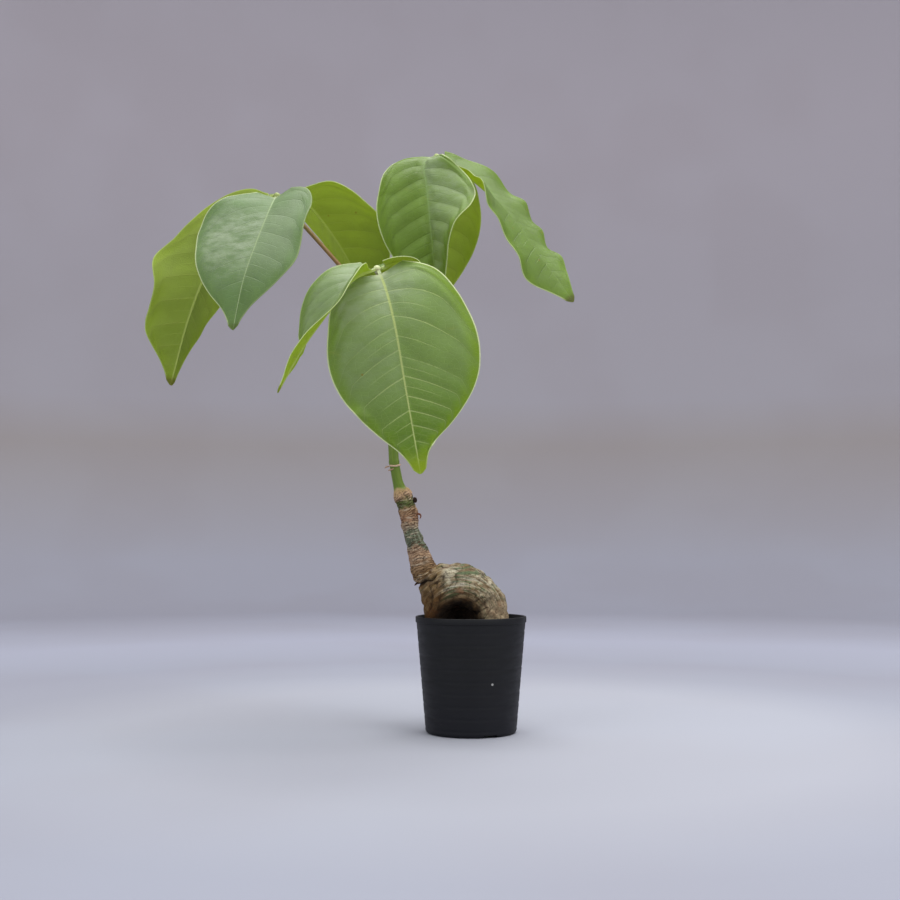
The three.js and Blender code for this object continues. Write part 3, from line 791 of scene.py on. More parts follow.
def caudex_colour(finish, over, stain):
    """Beige, streaked along its ridges with green, chalky white and a little red; painted shade and light."""
    streaks = finish.drawn_out((0.34, 0.07, 0.07), over, detail=7, roughness=0.65, distortion=0.4)
    shades = [
        (0.32, srgb(88, 68, 46)),
        (0.42, srgb(124, 106, 78)),
        (0.5, srgb(154, 142, 116)),
        (0.59, srgb(176, 167, 143)),
        (0.69, srgb(202, 195, 176)),
    ]
    colour = finish.ramp(streaks, shades)
    threads = finish.drawn_out((1.0, 0.12, 0.12), over, detail=5, roughness=0.7)
    colour = finish.mix(finish.step(threads, 0.52, 0.4, 0, 0.45), colour, srgb(96, 76, 54))
    green_streaks = finish.drawn_out((0.62, 0.06, 0.06), over, detail=5, distortion=0.5)
    greener = finish.maths("MULTIPLY_ADD", stain, 0.13, green_streaks)
    colour = finish.mix(finish.step(greener, 0.54, 0.61, 0, 0.8), colour, srgb(88, 108, 76))
    chalk = finish.drawn_out((0.26, 0.12, 0.12), over, detail=6, roughness=0.65, distortion=1.0)
    whiter = finish.maths("MULTIPLY_ADD", stain, -0.2, chalk)
    colour = finish.mix(finish.step(whiter, 0.57, 0.68, 0, 0.85), colour, srgb(196, 187, 162))
    rosy = finish.noise(58, detail=4)
    colour = finish.mix(finish.step(rosy, 0.56, 0.68, 0, 0.6), colour, srgb(146, 98, 66))
    sideways = finish.axis("X")
    golden = finish.step(sideways, -20 * MM, -28 * MM, 0, 0.5)
    colour = finish.mix(golden, colour, srgb(148, 112, 62), "MULTIPLY")
    colour = finish.mix(finish.times(golden, 0.5), colour, srgb(172, 132, 76))
    # painted shade darkens the left side down to the soil; the right root stands forward in painted light
    on_right = finish.step(sideways, 3 * MM, 12 * MM)
    shaded = finish.maths("SUBTRACT", 1.0, on_right)
    height = finish.axis("Z")
    high = finish.step(height, 86 * MM, 112 * MM)
    high = finish.maths("MAXIMUM", high, finish.times(on_right, 0.85))
    colour = finish.mix(high, finish.mix(0.5, colour, srgb(98, 72, 42)), colour)
    level = finish.maths("MULTIPLY_ADD", finish.noise(90, detail=4), 20 * MM, height)
    # painted shade under the hump, weaker on the right
    belly_shade = finish.times(finish.step(level, 132 * MM, 116 * MM, 0, 0.8), finish.step(shaded, 0, 1, 0.45, 1))
    colour = finish.mix(belly_shade, colour, srgb(196, 172, 138), "MULTIPLY")
    # painted shade round the hollow, except on the right
    from_hollow = finish.maths("MULTIPLY_ADD", finish.noise(120, detail=4), 12.0, finish.axis("X", over))
    hollow_edge_shade = finish.times(finish.step(from_hollow, 36, 23, 0, 0.75), shaded)
    colour = finish.mix(hollow_edge_shade, colour, srgb(150, 124, 92), "MULTIPLY")
    # painted light on the lower right root
    root_light = finish.times(on_right, finish.step(level, 123 * MM, 111 * MM, 0, 0.45))
    return finish.mix(root_light, colour, srgb(192, 170, 138))


# the trunk's colours: (distance along it in millimetres, colour)
BAND_LENGTH = 260.0
TRUNK_BANDS = [
    (18, (92, 68, 42)),
    (28, (140, 112, 76)),
    (35, (158, 128, 96)),
    (44, (186, 152, 122)),
    (51, (176, 146, 118)),
    (53.5, (104, 114, 92)),
    (64, (112, 120, 96)),
    (66.5, (186, 168, 140)),
    (74, (160, 122, 94)),
    (82, (172, 138, 104)),
    (85.5, (88, 98, 52)),
    (90, (92, 104, 54)),
    (92.5, (206, 170, 136)),
    (98.5, (190, 158, 116)),
    (101.5, (98, 122, 44)),
    (232, (112, 134, 54)),
]


def trunk_colour(finish, ring, around):
    """Bands of tan, corky brown and green with uneven edges, and the grooves of the growth rings in them."""
    ragged = finish.maths("MULTIPLY_ADD", finish.noise(170, detail=5), 9.0, -4.5)
    # the lower green band hangs down on the right
    hanging = finish.times(finish.step(finish.axis("Y", around), 1, 7, 0, 8), finish.step(ring, 60, 52))
    hanging = finish.times(hanging, finish.step(ring, 42, 46))
    place = finish.maths("ADD", finish.maths("ADD", ring, ragged), hanging)
    shades = [(distance / BAND_LENGTH, srgb(*shade)) for distance, shade in TRUNK_BANDS]
    colour = finish.ramp(finish.maths("DIVIDE", place, BAND_LENGTH), shades)
    woody = finish.step(ring, BARK_END + 1, BARK_END - 4)
    rings = finish.drawn_out((0.4, 0.09, 0.09), around, detail=7, roughness=0.68, distortion=0.5)
    pale = finish.times(finish.step(rings, 0.54, 0.66, 0, 0.75), woody)
    colour = finish.mix(pale, colour, srgb(208, 190, 164))
    dark = finish.times(finish.step(rings, 0.47, 0.36, 0, 0.8), woody)
    colour = finish.mix(dark, colour, srgb(88, 58, 38))
    # growth rings about 2 mm apart, wavering and broken
    waver = finish.maths("MULTIPLY_ADD", finish.noise(110, detail=4), 26.0, -13.0)
    turns = finish.maths("MULTIPLY_ADD", ring, 3.1, waver)
    grooves = finish.times(finish.step(finish.maths("SINE", turns), 0.35, 0.95), woody)
    grooves = finish.times(grooves, finish.step(finish.noise(130, detail=2), 0.35, 0.6))
    colour = finish.mix(finish.times(grooves, 0.8), colour, srgb(82, 54, 34))
    # upright lines on the green band and on the shoot
    upright = finish.drawn_out((0.07, 0.5, 0.5), around, detail=5)
    on_green = finish.times(finish.step(ring, 50, 54), finish.step(ring, 68, 64))
    green_lines = finish.times(finish.step(upright, 0.48, 0.64, 0, 0.5), on_green)
    colour = finish.mix(green_lines, colour, srgb(160, 162, 140))
    on_shoot = finish.step(ring, BARK_END, BARK_END + 5)
    shoot_lines = finish.times(finish.step(upright, 0.35, 0.65, 0, 0.3), on_shoot)
    return finish.mix(shoot_lines, colour, srgb(140, 158, 66)), grooves


def bark_finish():
    finish = Finish("bark", roughness=0.9, gloss=0.25)
    trunk = finish.attribute("trunk")
    ring = finish.attribute("ring")
    over = finish.attribute("over_caudex", "Vector")
    around = finish.attribute("round_trunk", "Vector")
    bands, grooves = trunk_colour(finish, ring, around)
    colour = finish.mix(trunk, caudex_colour(finish, over, finish.attribute("stain")), bands)
    # hair cracks, then the crevices and the hollow, darker for the soil they hold and as painted shade
    on_shoot = finish.times(trunk, finish.step(ring, BARK_END, BARK_END + 4))
    not_shoot = finish.maths("SUBTRACT", 1.0, on_shoot)
    hair = finish.maths("ABSOLUTE", finish.maths("SUBTRACT", finish.noise(240, detail=4), 0.5))
    hair = finish.times(finish.step(hair, 0.022, 0.0, 0, 0.5), not_shoot)
    colour = finish.mix(hair, colour, srgb(60, 42, 26))
    # painted shade in the crevices, with the dark of the cracks and the leaf scars
    colour = finish.mix(finish.times(finish.attribute("crevice"), 0.85), colour, srgb(46, 32, 20))
    # painted shade: the hollow and the torn crack turn near black
    colour = finish.mix(finish.times(finish.attribute("hollow"), 0.93), colour, srgb(30, 20, 12))
    roughness = finish.step(not_shoot, 0.0, 1.0, 0.45, 0.92)
    grain = finish.drawn_out((0.9, 0.25, 0.25), around, detail=6, roughness=0.7)
    ridges = finish.drawn_out((0.8, 0.2, 0.2), over, detail=6, roughness=0.7)
    fibre = finish.node("Mix", {0: trunk, 2: ridges, 3: grain}, data_type="FLOAT")
    height = finish.maths("ADD", fibre, finish.times(finish.noise(620, detail=5), 0.7))
    carved = finish.maths("ADD", hair, finish.times(grooves, trunk))
    height = finish.times(finish.maths("SUBTRACT", height, carved), not_shoot)
    return finish.finish(Base_Color=colour, Roughness=roughness, Normal=finish.bump(height, 0.9 * MM, 1.0))


stem = settle(woody_stem(), "caudex_trunk_and_shoot", "bark", bark_finish(), sharp=80)
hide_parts("caudex_and_stem")


# What still clings to the stem: the papery ring of a fallen leaf, a curled dry scale, a black bud, and a spur
# of torn bark at the collar. Each is a thin tapering tube, shrivelled along its length.
def tube(path, radius_at, sides, rows):
    """A round tube along a path in millimetres, closed where the radius comes to nothing at its ends."""
    mesh = bmesh.new()
    length = mesh.verts.layers.float.new("along")
    bmesh.ops.create_grid(mesh, x_segments=sides, y_segments=rows, size=0.5)
    for vertex in mesh.verts:
        turn = (vertex.co.x + 0.5) * math.tau
        share = vertex.co.y + 0.5
        heading = path.heading(share)
        side = heading.cross(Vector((0.3, 1, 0.2))).normalized()
        other = heading.cross(side)
        radius = radius_at(share)
        vertex.co = (path.along(share) + radius * (math.cos(turn) * side + math.sin(turn) * other)) * MM
        vertex[length] = share
    bmesh.ops.remove_doubles(mesh, verts=mesh.verts, dist=WELD / 10)
    bmesh.ops.recalc_face_normals(mesh, faces=mesh.faces)
    return mesh


def beside_trunk(distance, bearing, out):
    """The point at a distance along the trunk, on a bearing round it, and so far out of its middle."""
    share = distance / trunk_path.length
    _, across, behind = trunk_sides(share)
    middle = trunk_path.along(share)
    return middle + (across * math.cos(bearing) + behind * math.sin(bearing)) * out


# each scrap: its points as (distance along the trunk, bearing, distance out of its middle), its greatest
# radius, and its tone from black to straw
RING_BEARINGS = (-3.4, -2.4, -1.4, -0.4, 0.6, 1.6, 2.5)
SCRAPS = [
    ([(119.8 + 0.5 * math.sin(2 * bearing + 1), bearing, 4.7) for bearing in RING_BEARINGS], 0.75, 0.95),
    ([(119.6, -2.9, 4.4), (119.8, -3.0, 6.4), (118.6, -3.05, 8.4)], 0.6, 0.8),
    ([(117.4, -1.7, 4.3), (117.0, -2.3, 4.7), (116.6, -2.9, 6.2)], 0.6, 0.8),
    ([(85.4, -0.3, 7.2), (87.2, -0.3, 8.6), (89.6, -0.3, 8.2)], 1.6, 0.05),
    ([(75, -0.5, 6), (77.2, -0.4, 8.4), (75.6, -0.3, 10.2), (72.6, -0.4, 9.2)], 0.7, 0.4),
    ([(24.5, -2.7, 8.5), (24, -2.8, 11), (23.6, -2.85, 12.6)], 0.8, 0.1),
]
SCRAP_SIDES = 10
SCRAP_ROWS = 16


def scrap_radius(greatest):
    """A scrap's radius along it, which closes to nothing at both ends."""

    def radius(share):
        swell = math.sin(math.pi * min(max(0.12 + 0.84 * share, 0.0), 1.0)) ** 0.7
        return greatest * swell * math.sqrt(min(1.0, 9 * share, 9 * (1 - share)))

    return radius


def clinging_scraps():
    mesh = bmesh.new()
    mesh.verts.layers.float.new("tone")
    for places, greatest, shade in SCRAPS:
        path = SmoothPath([beside_trunk(*place) for place in places])
        scrap = tube(path, scrap_radius(greatest), SCRAP_SIDES, SCRAP_ROWS)
        copy = bpy.data.meshes.new("scrap")
        scrap.to_mesh(copy)
        scrap.free()
        known = len(mesh.verts)
        mesh.from_mesh(copy)
        bpy.data.meshes.remove(copy)
        tone = mesh.verts.layers.float["tone"]
        for vertex in list(mesh.verts)[known:]:
            vertex[tone] = shade
            vertex.co += Vector((1, 1, 1)) * noise.noise(vertex.co / MM * 1.3) * 0.25 * MM
    return mesh


def dry_finish():
    finish = Finish("dry_scrap", roughness=0.85, gloss=0.25)
    shades = [
        (0.0, srgb(24, 17, 12)),
        (0.4, srgb(112, 66, 44)),
        (0.7, srgb(160, 124, 92)),
        (1.0, srgb(216, 186, 162)),
    ]
    uneven = finish.maths("MULTIPLY_ADD", finish.noise(500, detail=5), 0.3, -0.15)
    tone = finish.maths("ADD", finish.attribute("tone"), uneven)
    normal = finish.bump(finish.noise(900, detail=4), 0.3 * MM)
    return finish.finish(Base_Color=finish.ramp(tone, shades), Normal=normal)


settle(clinging_scraps(), "dry_scales_and_bud", "bark", dry_finish(), sharp=60)


# The leaf stalks: long, slim and reddish brown, grown out of the top of the shoot, and swollen at their foot
# and again at the hub that the leaflets leave from. Each is a tube along its curve, closed at both ends.
PETIOLES = {  # the points and the radii of the stalks are in millimetres
    "left": [(-68, 0, 332), (-82, -1, 350), (-118, -4, 392), (-160, -9, 437.8)],
    "front": [(-67, 0, 316), (-67, -12, 328), (-70, -50, 349), (-72, -94, 358)],
    "top": [(-68.2, 0, 345), (-62, 2, 364), (-51, 6, 402), (-28, 8, 476)],
}
PETIOLE_RADIUS = 1.75
HUB_RADIUS = 2.9
HUB_COLOURS = {"left": (150, 166, 92), "front": (206, 213, 158), "top": (158, 174, 92)}
STALK_SIDES = 20
STALK_ROWS = 170


def value_at(values, share):
    """The value at a share of the way along a list of evenly spaced values, as a smooth curve."""
    position = min(max(share, 0.0), 1.0) * (len(values) - 1)
    i = min(int(position), len(values) - 1)
    weight = position - i
    p0, p1 = values[max(i - 1, 0)], values[i]
    p2, p3 = values[min(i + 1, len(values) - 1)], values[min(i + 2, len(values) - 1)]
    start, end = (p2 - p0) / 2, (p3 - p1) / 2
    cubic = (2 * p1 - 2 * p2 + start + end) * weight**3
    return cubic + (-3 * p1 + 3 * p2 - 2 * start - end) * weight**2 + start * weight + p1


def petiole_radius(length):
    """A stalk's radius along it: thick at its foot, slim, then a ball for its hub that ends the stalk."""
    hub_at = length - HUB_RADIUS

    def radius(share):
        distance = share * length
        foot = 1.4 * ease(distance, 14, 2)
        neck = 0.6 * ease(distance, hub_at - 11, hub_at - 4)
        ball = HUB_RADIUS * math.sqrt(max(0.0, 1 - ((distance - hub_at) / HUB_RADIUS) ** 2))
        stalk = (PETIOLE_RADIUS + foot + neck) * math.sqrt(min(1.0, distance / 2))
        return ball if distance > hub_at else max(stalk, ball)

    return radius


def petiole_finish(leaf):
    finish = Finish(f"leaf_stalk_{leaf}")
    along = finish.attribute("along")
    uneven = finish.maths("MULTIPLY_ADD", finish.noise(70, detail=4), 0.12, -0.06)
    tone = finish.maths("ADD", along, uneven)
    shades = [
        (0.0, srgb(112, 128, 62)),
        (0.14, srgb(142, 110, 64)),
        (0.5, srgb(146, 112, 66)),
        (0.75, srgb(140, 118, 68)),
        (0.88, srgb(138, 120, 70)),
        (0.93, srgb(150, 146, 80)),
        (0.965, srgb(*HUB_COLOURS[leaf])),
    ]
    colour = finish.ramp(tone, shades)
    blotches = finish.noise(260, detail=5)
    colour = finish.mix(finish.step(blotches, 0.5, 0.7, 0, 0.5), colour, srgb(128, 70, 44))
    roughness = finish.step(blotches, 0.3, 0.7, 0.38, 0.55)
    return finish.finish(Base_Color=colour, Roughness=roughness, Normal=finish.bump(blotches, 0.15 * MM))


for leaf, points in PETIOLES.items():
    hub, before = Vector(points[-1]), Vector(points[-2])
    path = SmoothPath(points + [hub + (hub - before).normalized() * HUB_RADIUS])
    stalk = settle(
        tube(path, petiole_radius(path.length), STALK_SIDES, STALK_ROWS),
        f"leaf_stalk_{leaf}",
        "petiole",
        petiole_finish(leaf),
    )
    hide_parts(f"petiole_{leaf}")


# The leaflets: three large thin drooping blades on each leaf stalk, with a keeled midrib, arching side veins
# and a pale rim, partly painted as an edge highlight. Each is a grid that is laid along the blade's curves,
# quilted between its veins, and given its thickness.
BLADE_THICKNESS = 0.5 * MM
BLADE_COLUMNS = 60
TOWARDS_MIDRIB = 1.12  # above 1, columns stand closer together by the midrib
STALK_ROWS_OF_BLADE = 5
ROUNDED_ROWS = 10
BLADE_ROWS = 118
# in millimetres: the short stalk that a leaflet stands on, and the keel under its midrib
STALK_HALF_WIDTH = 1.2
KEEL_DEPTH = 1.3
# shares of a leaflet's length, then of its half's width
STALK_SHARE = 0.035
HEEL_END = 0.35
LOBE_END = 0.13
BASE_ROUNDING = 0.014
TIP_ROUNDING = 0.022
BESIDE_MIDRIB = 1e-6
# how wide a leaflet is, from its base to its tip
OUTLINE = [0.3, 0.69, 0.87, 0.96, 1, 0.97, 0.87, 0.7, 0.47, 0.21, 0.07]
# where the side veins leave the midrib, as shares of its length, on the left and the right half
VEINS = (
    [0.0, 0.05, 0.12, 0.21, 0.31, 0.42, 0.53, 0.64, 0.74, 0.84, 0.94],
    [0.0, 0.06, 0.15, 0.25, 0.35, 0.46, 0.57, 0.68, 0.78, 0.87, 0.95],
)
UNDER_VEINS = ((188, 202, 104), 0.75)
# A leaflet's shape, with a value for its left and its right half where there are two: the points of its
# midrib; the way its upper side faces, from stalk to tip; how wide it is; its fold in degrees, from stalk to
# tip; how far its margin hangs; that margin's waves as (height, number, start); how far its base reaches back
# past the stalk, and how full it is; how much fuller than the outline it is, from base to tip; where its side
# veins start; and the curls of its margin as (place, side, spread, height).
PLAIN_SHAPE = {
    "hang": (3, 3),
    "wave": ((2, 2, 0.3), (2, 2, 0.1)),
    "heel": (1, 1),
    "fullness": ([1], [1]),
    "veins": VEINS,
    "curls": [],
}
# Its looks, again for the left and the right half where there are two: the colours of its upper side and its
# underside; its side veins' colour and strength; its midrib's colour and width; how strong its pale rim is,
# partly its own colour and partly a painted edge highlight; how much waxy powder and painted sheen it has,
# how patchy that is, and where it starts and ends; how much painted sheen lies on its base and its left
# shoulder, and how pale its joint is; how far it bulges between its veins; how fresh a green its margin has;
# how deep a green its tip has; and the colour and the start of the blunt nib at its tip.
PLAIN_LOOKS = {
    "upper": (108, 136, 54),
    "under": (150, 168, 76),
    "veins": ((166, 186, 104), 0.6),
    "midrib": (170, 188, 108),
    "rib": 0.48,
    "rim": (0.7, 0.7),
    "bloom and sheen": (0.12, 0.12),
    "patchy": (0.45, 0.45),
    "pale patches start": -0.2,
    "pale patches end": 1.5,
    "sheen at base": 0.2,
    "sheen on shoulder": 0,
    "joint": 0.4,
    "quilt": 0.9,
    "fresh": (0.3, 0.3),
    "deeper tip": 0.8,
    "nib": (120, 112, 52),
    "nib start": 0.95,
}
# each leaflet, by what sets it apart from the plain shape and looks
LEAFLETS = {
    "left_front": {
        "midrib": [
            (-160, -10, 437.5),
            (-161, -36, 421.3),
            (-168, -64, 385.3),
            (-174.8, -82, 351.4),
            (-180.3, -92, 312),
        ],
        "facing": [(-0.25, -0.55, 0.75), (-0.3, -0.85, 0.4)],
        "width": (52, 44),
        "fold": ([25, 10, 8, 5], [12, 2, 0, 5, 5]),
        "hang": (3, 0),
        "wave": ((1.5, 2, 0.1), (2, 2, 0.4)),
        "lobe": (14, 16),
        "heel": (1, 0.85),
        "fullness": ([1, 1.15, 1.1, 1, 1.05, 1.1, 1], [1.05, 1.05, 0.88, 0.95, 1.15, 1.12, 1]),
        "veins": (
            [0.0, 0.06, 0.15, 0.27, 0.4, 0.55, 0.7, 0.85, 0.95],
            [0.0, 0.05, 0.13, 0.24, 0.37, 0.52, 0.67, 0.82, 0.94],
        ),
        "looks": {
            "upper": (105, 134, 90),
            "veins": ((150, 174, 130), 0.3),
            "midrib": (172, 190, 148),
            "rib": 0.4,
            "rim": (0.6, 0.2),
            "bloom and sheen": (0.9, 0.45),
            "patchy": (0.8, 0.1),
            "pale patches start": 0.17,
            "pale patches end": 0.85,
            "sheen at base": 0,
            "quilt": 0.45,
            "fresh": (0.15, 0.1),
            "deeper tip": 0.15,
            "nib": (84, 104, 50),
        },
    },
    "left_outer": {
        "midrib": [
            (-162, -8, 438),
            (-191.6, 4, 429.5),
            (-217.6, 12, 387.3),
            (-237, 16, 338.8),
            (-250.3, 14, 283.3),
        ],
        "facing": [(-0.1, 0.9, 0.4), (-0.2, 0.95, 0.1)],
        "width": (46, 53),
        "fold": ([20, 40, 55, 65, 60], [80, 62, 38, 8, -5, 0]),
        "hang": (2, 2),
        "wave": ((3, 3, 0.2), (3, 3.5, 0.6)),
        "lobe": (6, 0),
        "heel": (1, 0.6),
        "fullness": ([1], [1, 1, 1, 0.9, 0.84, 0.92, 0.78, 0.9, 1.22, 1.25, 1]),
        "looks": {"upper": (112, 138, 58), "under": (174, 193, 92), "bloom and sheen": (0.15, 0.15)},
    },
    "left_back": {
        "midrib": [
            (-157.5, -6, 438),
            (-142.5, 20, 443),
            (-121, 38, 421),
            (-101.5, 48, 390),
            (-84.6, 50, 346.5),
        ],
        "facing": [(0.2, 0.5, 0.85), (0.5, 0.85, 0.1)],
        "width": (45, 46),
        "fold": ([13, 9, 5, 5], [5, 38, 40, 36]),
        "hang": (2, 2),
        "lobe": (6, 6),
        "heel": (0.95, 1),
        "fullness": ([1.05, 1, 1, 1.2, 1.4, 1.2], [1]),
        "looks": {"under": (176, 196, 86)},
    },
    "front_front": {
        "midrib": [
            (-71, -95.5, 357.3),
            (-64.3, -110, 339.1),
            (-57.1, -120, 310.2),
            (-49.4, -119, 265.6),
            (-38.4, -109.8, 202.6),
        ],
        "facing": [(0.1, -0.75, 0.65), (0.1, -0.98, 0.05)],
        "width": (54, 60),
        "fold": ([-12, 0, 0, 0], [20, 5, 0, 0]),
        "hang": (2, 3),
        "wave": ((2, 2, 0.5), (2, 2, 0.2)),
        "lobe": (7, 9),
        "fullness": ([1, 0.95, 1, 1, 1], [1, 1, 1, 1, 1, 1.02, 1.06, 1.08, 1.03, 0.77, 0.95]),
        "veins": (
            [0.0, 0.048, 0.104, 0.175, 0.307, 0.409, 0.533, 0.68, 0.785, 0.88, 0.95],
            [0.0, 0.048, 0.122, 0.251, 0.439, 0.525, 0.615, 0.68, 0.745, 0.815, 0.9, 0.95],
        ),
        "curls": [(0.69, -1, 0.03, 4.5), (0.885, 1, 0.014, 2.5)],
        "looks": {
            "upper": (127, 157, 82),
            "veins": ((186, 206, 128), 0.95),
            "midrib": (204, 216, 142),
            "rib": 0.62,
            "rim": (1, 1),
            "bloom and sheen": (0.34, 0.12),
            "pale patches end": 0.85,
            "sheen at base": 0.75,
            "sheen on shoulder": 1,
            "joint": 0.85,
            "quilt": 1.1,
            "fresh": (0.4, 0.85),
            "nib": (158, 182, 36),
            "nib start": 0.87,
        },
    },
    "front_left": {
        "midrib": [
            (-73.8, -95.8, 357.8),
            (-88.3, -125, 343.2),
            (-103.8, -150, 314.3),
            (-118.4, -168, 287.3),
            (-134.4, -178, 254.5),
        ],
        "facing": [(-0.6, -0.25, 0.75), (-0.9, 0, 0.43)],
        "width": (42, 30),
        "fold": ([52, 32, 9, 2, 5], [6, 12, -8, 15, 18]),
        "hang": (0, 0),
        "wave": ((2, 2, 0.3), (3, 2.5, 0.1)),
        "lobe": (12, -4),
        "heel": (1, 0.3),
        "fullness": (
            [1, 1, 1, 1, 1, 1, 0.85, 0.72, 0.7, 0.8, 1],
            [1, 1, 1, 1, 1, 1, 0.9, 0.75, 0.7, 0.8, 1],
        ),
        "looks": {
            "upper": (114, 142, 82),
            "under": (198, 222, 84),
            "veins": ((164, 186, 126), 0.5),
            "midrib": (182, 200, 136),
            "rib": 0.45,
            "rim": (0.35, 0.7),
            "bloom and sheen": (0.42, 0.42),
            "sheen at base": 0.4,
            "quilt": 0.8,
            "nib": (140, 150, 50),
        },
    },
    "front_back": {
        "midrib": [
            (-69, -92.8, 359),
            (-55.2, -79, 366.1),
            (-41.8, -66, 354.4),
            (-31.9, -54, 324.8),
            (-27.2, -46, 290.4),
        ],
        "facing": [(0.4, 0.3, 0.85), (0.75, 0.5, 0.3)],
        "width": (28, 38),
        "fold": ([60, 14, -22, -20, -15, -10, -5], [-5, -5, 0]),
        "lobe": (9, 2),
        "heel": (1.1, 0.6),
        "looks": {
            "upper": (104, 134, 54),
            "veins": ((160, 182, 108), 0.6),
            "midrib": (178, 196, 124),
            "rib": 0.5,
            "rim": (0.95, 0.95),
            "quilt": 0.7,
            "nib": (140, 150, 50),
        },
    },
    "top_front": {
        "midrib": [
            (-29, 6.5, 477),
            (-38.1, -8, 465.9),
            (-35.8, -18, 440.3),
            (-32, -24, 399.8),
            (-26, -26, 338),
        ],
        "facing": [(-0.1, -0.5, 0.85), (0, -0.98, 0.1)],
        "width": (43, 41),
        "fold": ([-5, 0, 0, 0], [20, 10, 18, 60, 64, 45]),
        "lobe": (8, 5),
        "heel": (1, 0.65),
        "looks": {
            "upper": (110, 140, 54),
            "veins": ((88, 116, 46), 0.45),
            "midrib": (136, 164, 104),
            "rib": 0.4,
            "rim": (0.6, 0.6),
            "bloom and sheen": (0.05, 0.5),
            "sheen at base": 0.15,
            "quilt": 1.9,
            "fresh": (0.35, 0.35),
            "deeper tip": 0.3,
            "nib": (120, 128, 44),
        },
    },
    "top_right": {
        "midrib": [
            (-26.5, 8, 477),
            (-3, 15, 463),
            (29, 9, 432),
            (56.5, 0, 391.5),
            (84.8, -5, 350.3),
        ],
        "facing": [(0.5, -0.48, 0.72), (0.6, -0.42, 0.66), (0.6, -0.55, 0.58), (0.1, -0.97, 0.2)],
        "width": (50, 40),
        "fold": ([30, 27, 20, 14, 5, 0, 0, 0, 0], [11, 8, 2, 0, 0]),
        "hang": (0, 0),
        "wave": ((1.6, 5.5, 0.3), (2.4, 5.5, 0.1)),
        "lobe": (0, 4),
        "heel": (0.25, 1),
        "fullness": (
            [1, 0.9, 0.85, 1, 1.02, 0.84, 0.8, 0.95, 1.3, 1.35, 1],
            [1, 1.1, 1.2, 1.2, 1.12, 0.95, 0.85, 0.95, 1.1, 1.1, 1],
        ),
        "looks": {
            "upper": (110, 139, 64),
            "under": (200, 222, 60),
            "veins": ((92, 120, 54), 0.4),
            "midrib": (134, 160, 92),
            "rib": 0.36,
            "rim": (0.6, 0.12),
            "bloom and sheen": (0.1, 0.15),
            "sheen at base": 0.1,
            "quilt": 0.4,
            "deeper tip": 0,
            "nib": (88, 84, 44),
        },
    },
    "top_back": {
        "midrib": [
            (-28, 10.8, 477.2),
            (-26, 34, 474),
            (-26, 52, 446),
            (-29, 62, 398),
            (-34, 65, 350),
        ],
        "facing": [(0.05, 0.4, 0.9), (0.1, 0.95, 0.2)],
        "width": (37, 42),
        "fold": ([-25, -15, 0, 0, 0], [-10, 0, 0]),
        "lobe": (4, 4),
        "looks": {"under": (206, 224, 112)},
    },
}
Row = namedtuple("Row", "middle heading facing left in_blade opening halves")
Half = namedtuple("Half", "share reach fold")


def vein_number(starts, share):
    """Counts the side veins up to a share of the midrib, with whole numbers on the veins themselves."""
    i = 0
    while i < len(starts) - 2 and share >= starts[i + 1]:
        i += 1
    gap = starts[i + 1] - starts[i]
    return i + (share - starts[i]) / gap, gap


class Blade:
    """One leaflet's curves, in millimetres. u runs from 0 at its stalk to 1 at its tip, and v from -1 at its
    left margin to 1 at its right one."""

    def __init__(self, shape):
        self.shape = shape
        self.path = SmoothPath(shape["midrib"])
        self.turning = SmoothPath(shape["facing"])
        self.rows = {}

    def row(self, u):
        """What every point of one row shares."""
        if u not in self.rows:
            heading = self.path.heading(u)
            facing = self.turning.at(u)
            facing = (facing - heading * facing.dot(heading)).normalized()
            in_blade = min(max((u - STALK_SHARE) / (1 - STALK_SHARE), 0.0), 1.0)
            opening = math.sqrt(min(1.0, in_blade / BASE_ROUNDING))
            closing = math.sqrt(min(1.0, (1 - in_blade) / TIP_ROUNDING))
            least = STALK_HALF_WIDTH if in_blade < 0.5 else 0.2
            halves = []
            for half in (0, 1):
                heel = self.shape["heel"][half]
                heel += (1 - heel) * ease(in_blade, 0, HEEL_END)
                full = value_at(self.shape["fullness"][half], in_blade)
                share = heel * full * value_at(OUTLINE, in_blade) * opening * closing
                reach = max(least, share * self.shape["width"][half])
                fold = math.radians(value_at(self.shape["fold"][half], u))
                halves.append(Half(share, reach, fold))
            left = heading.cross(facing)
            self.rows[u] = Row(self.path.along(u), heading, facing, left, in_blade, opening, halves)
        return self.rows[u]

    def reach(self, u, side):
        """How far the margin is from the midrib on the left, below zero, or on the right."""
        return self.row(u).halves[0 if side < 0 else 1].reach

    def point(self, u, v):
        row = self.row(u)
        half, out = (0, -v) if v < 0 else (1, v)
        share, widest, fold = row.halves[half]
        reach = out * widest
        height, number, start = self.shape["wave"][half]
        wave = height * math.sin(math.tau * (number * u + start)) * out * out
        rise = reach * math.sin(fold) + share * (wave - self.shape["hang"][half] * out * out)
        for at, side, spread, height in self.shape["curls"]:
            if side * v > 0:
                rise += height * math.exp(-(((u - at) / spread) ** 2)) * ease(out, 0.72, 1.0)
        at_base = math.exp(-((row.in_blade / LOBE_END) ** 2))
        back = self.shape["lobe"][half] * (out * row.opening) ** 1.5 * at_base
        aside = (reach if v < 0 else -reach) * math.cos(fold)
        return row.middle + row.left * aside + row.facing * rise - row.heading * back

    def vein(self, u, v):
        """How many side veins lie below a point, and how far apart in millimetres they are there."""
        half, out = (0, -v) if v < 0 else (1, v)
        reach = out * self.reach(u, v) / self.path.length
        climb = (0.42 * ease(u, 0.0, 0.45) - 0.06) * reach + 0.8 * reach * reach + 0.06 * ease(out, 0.72, 1.0)
        number, gap = vein_number(self.shape["veins"][half], u - STALK_SHARE - climb)
        return number, gap * self.path.length * 0.85


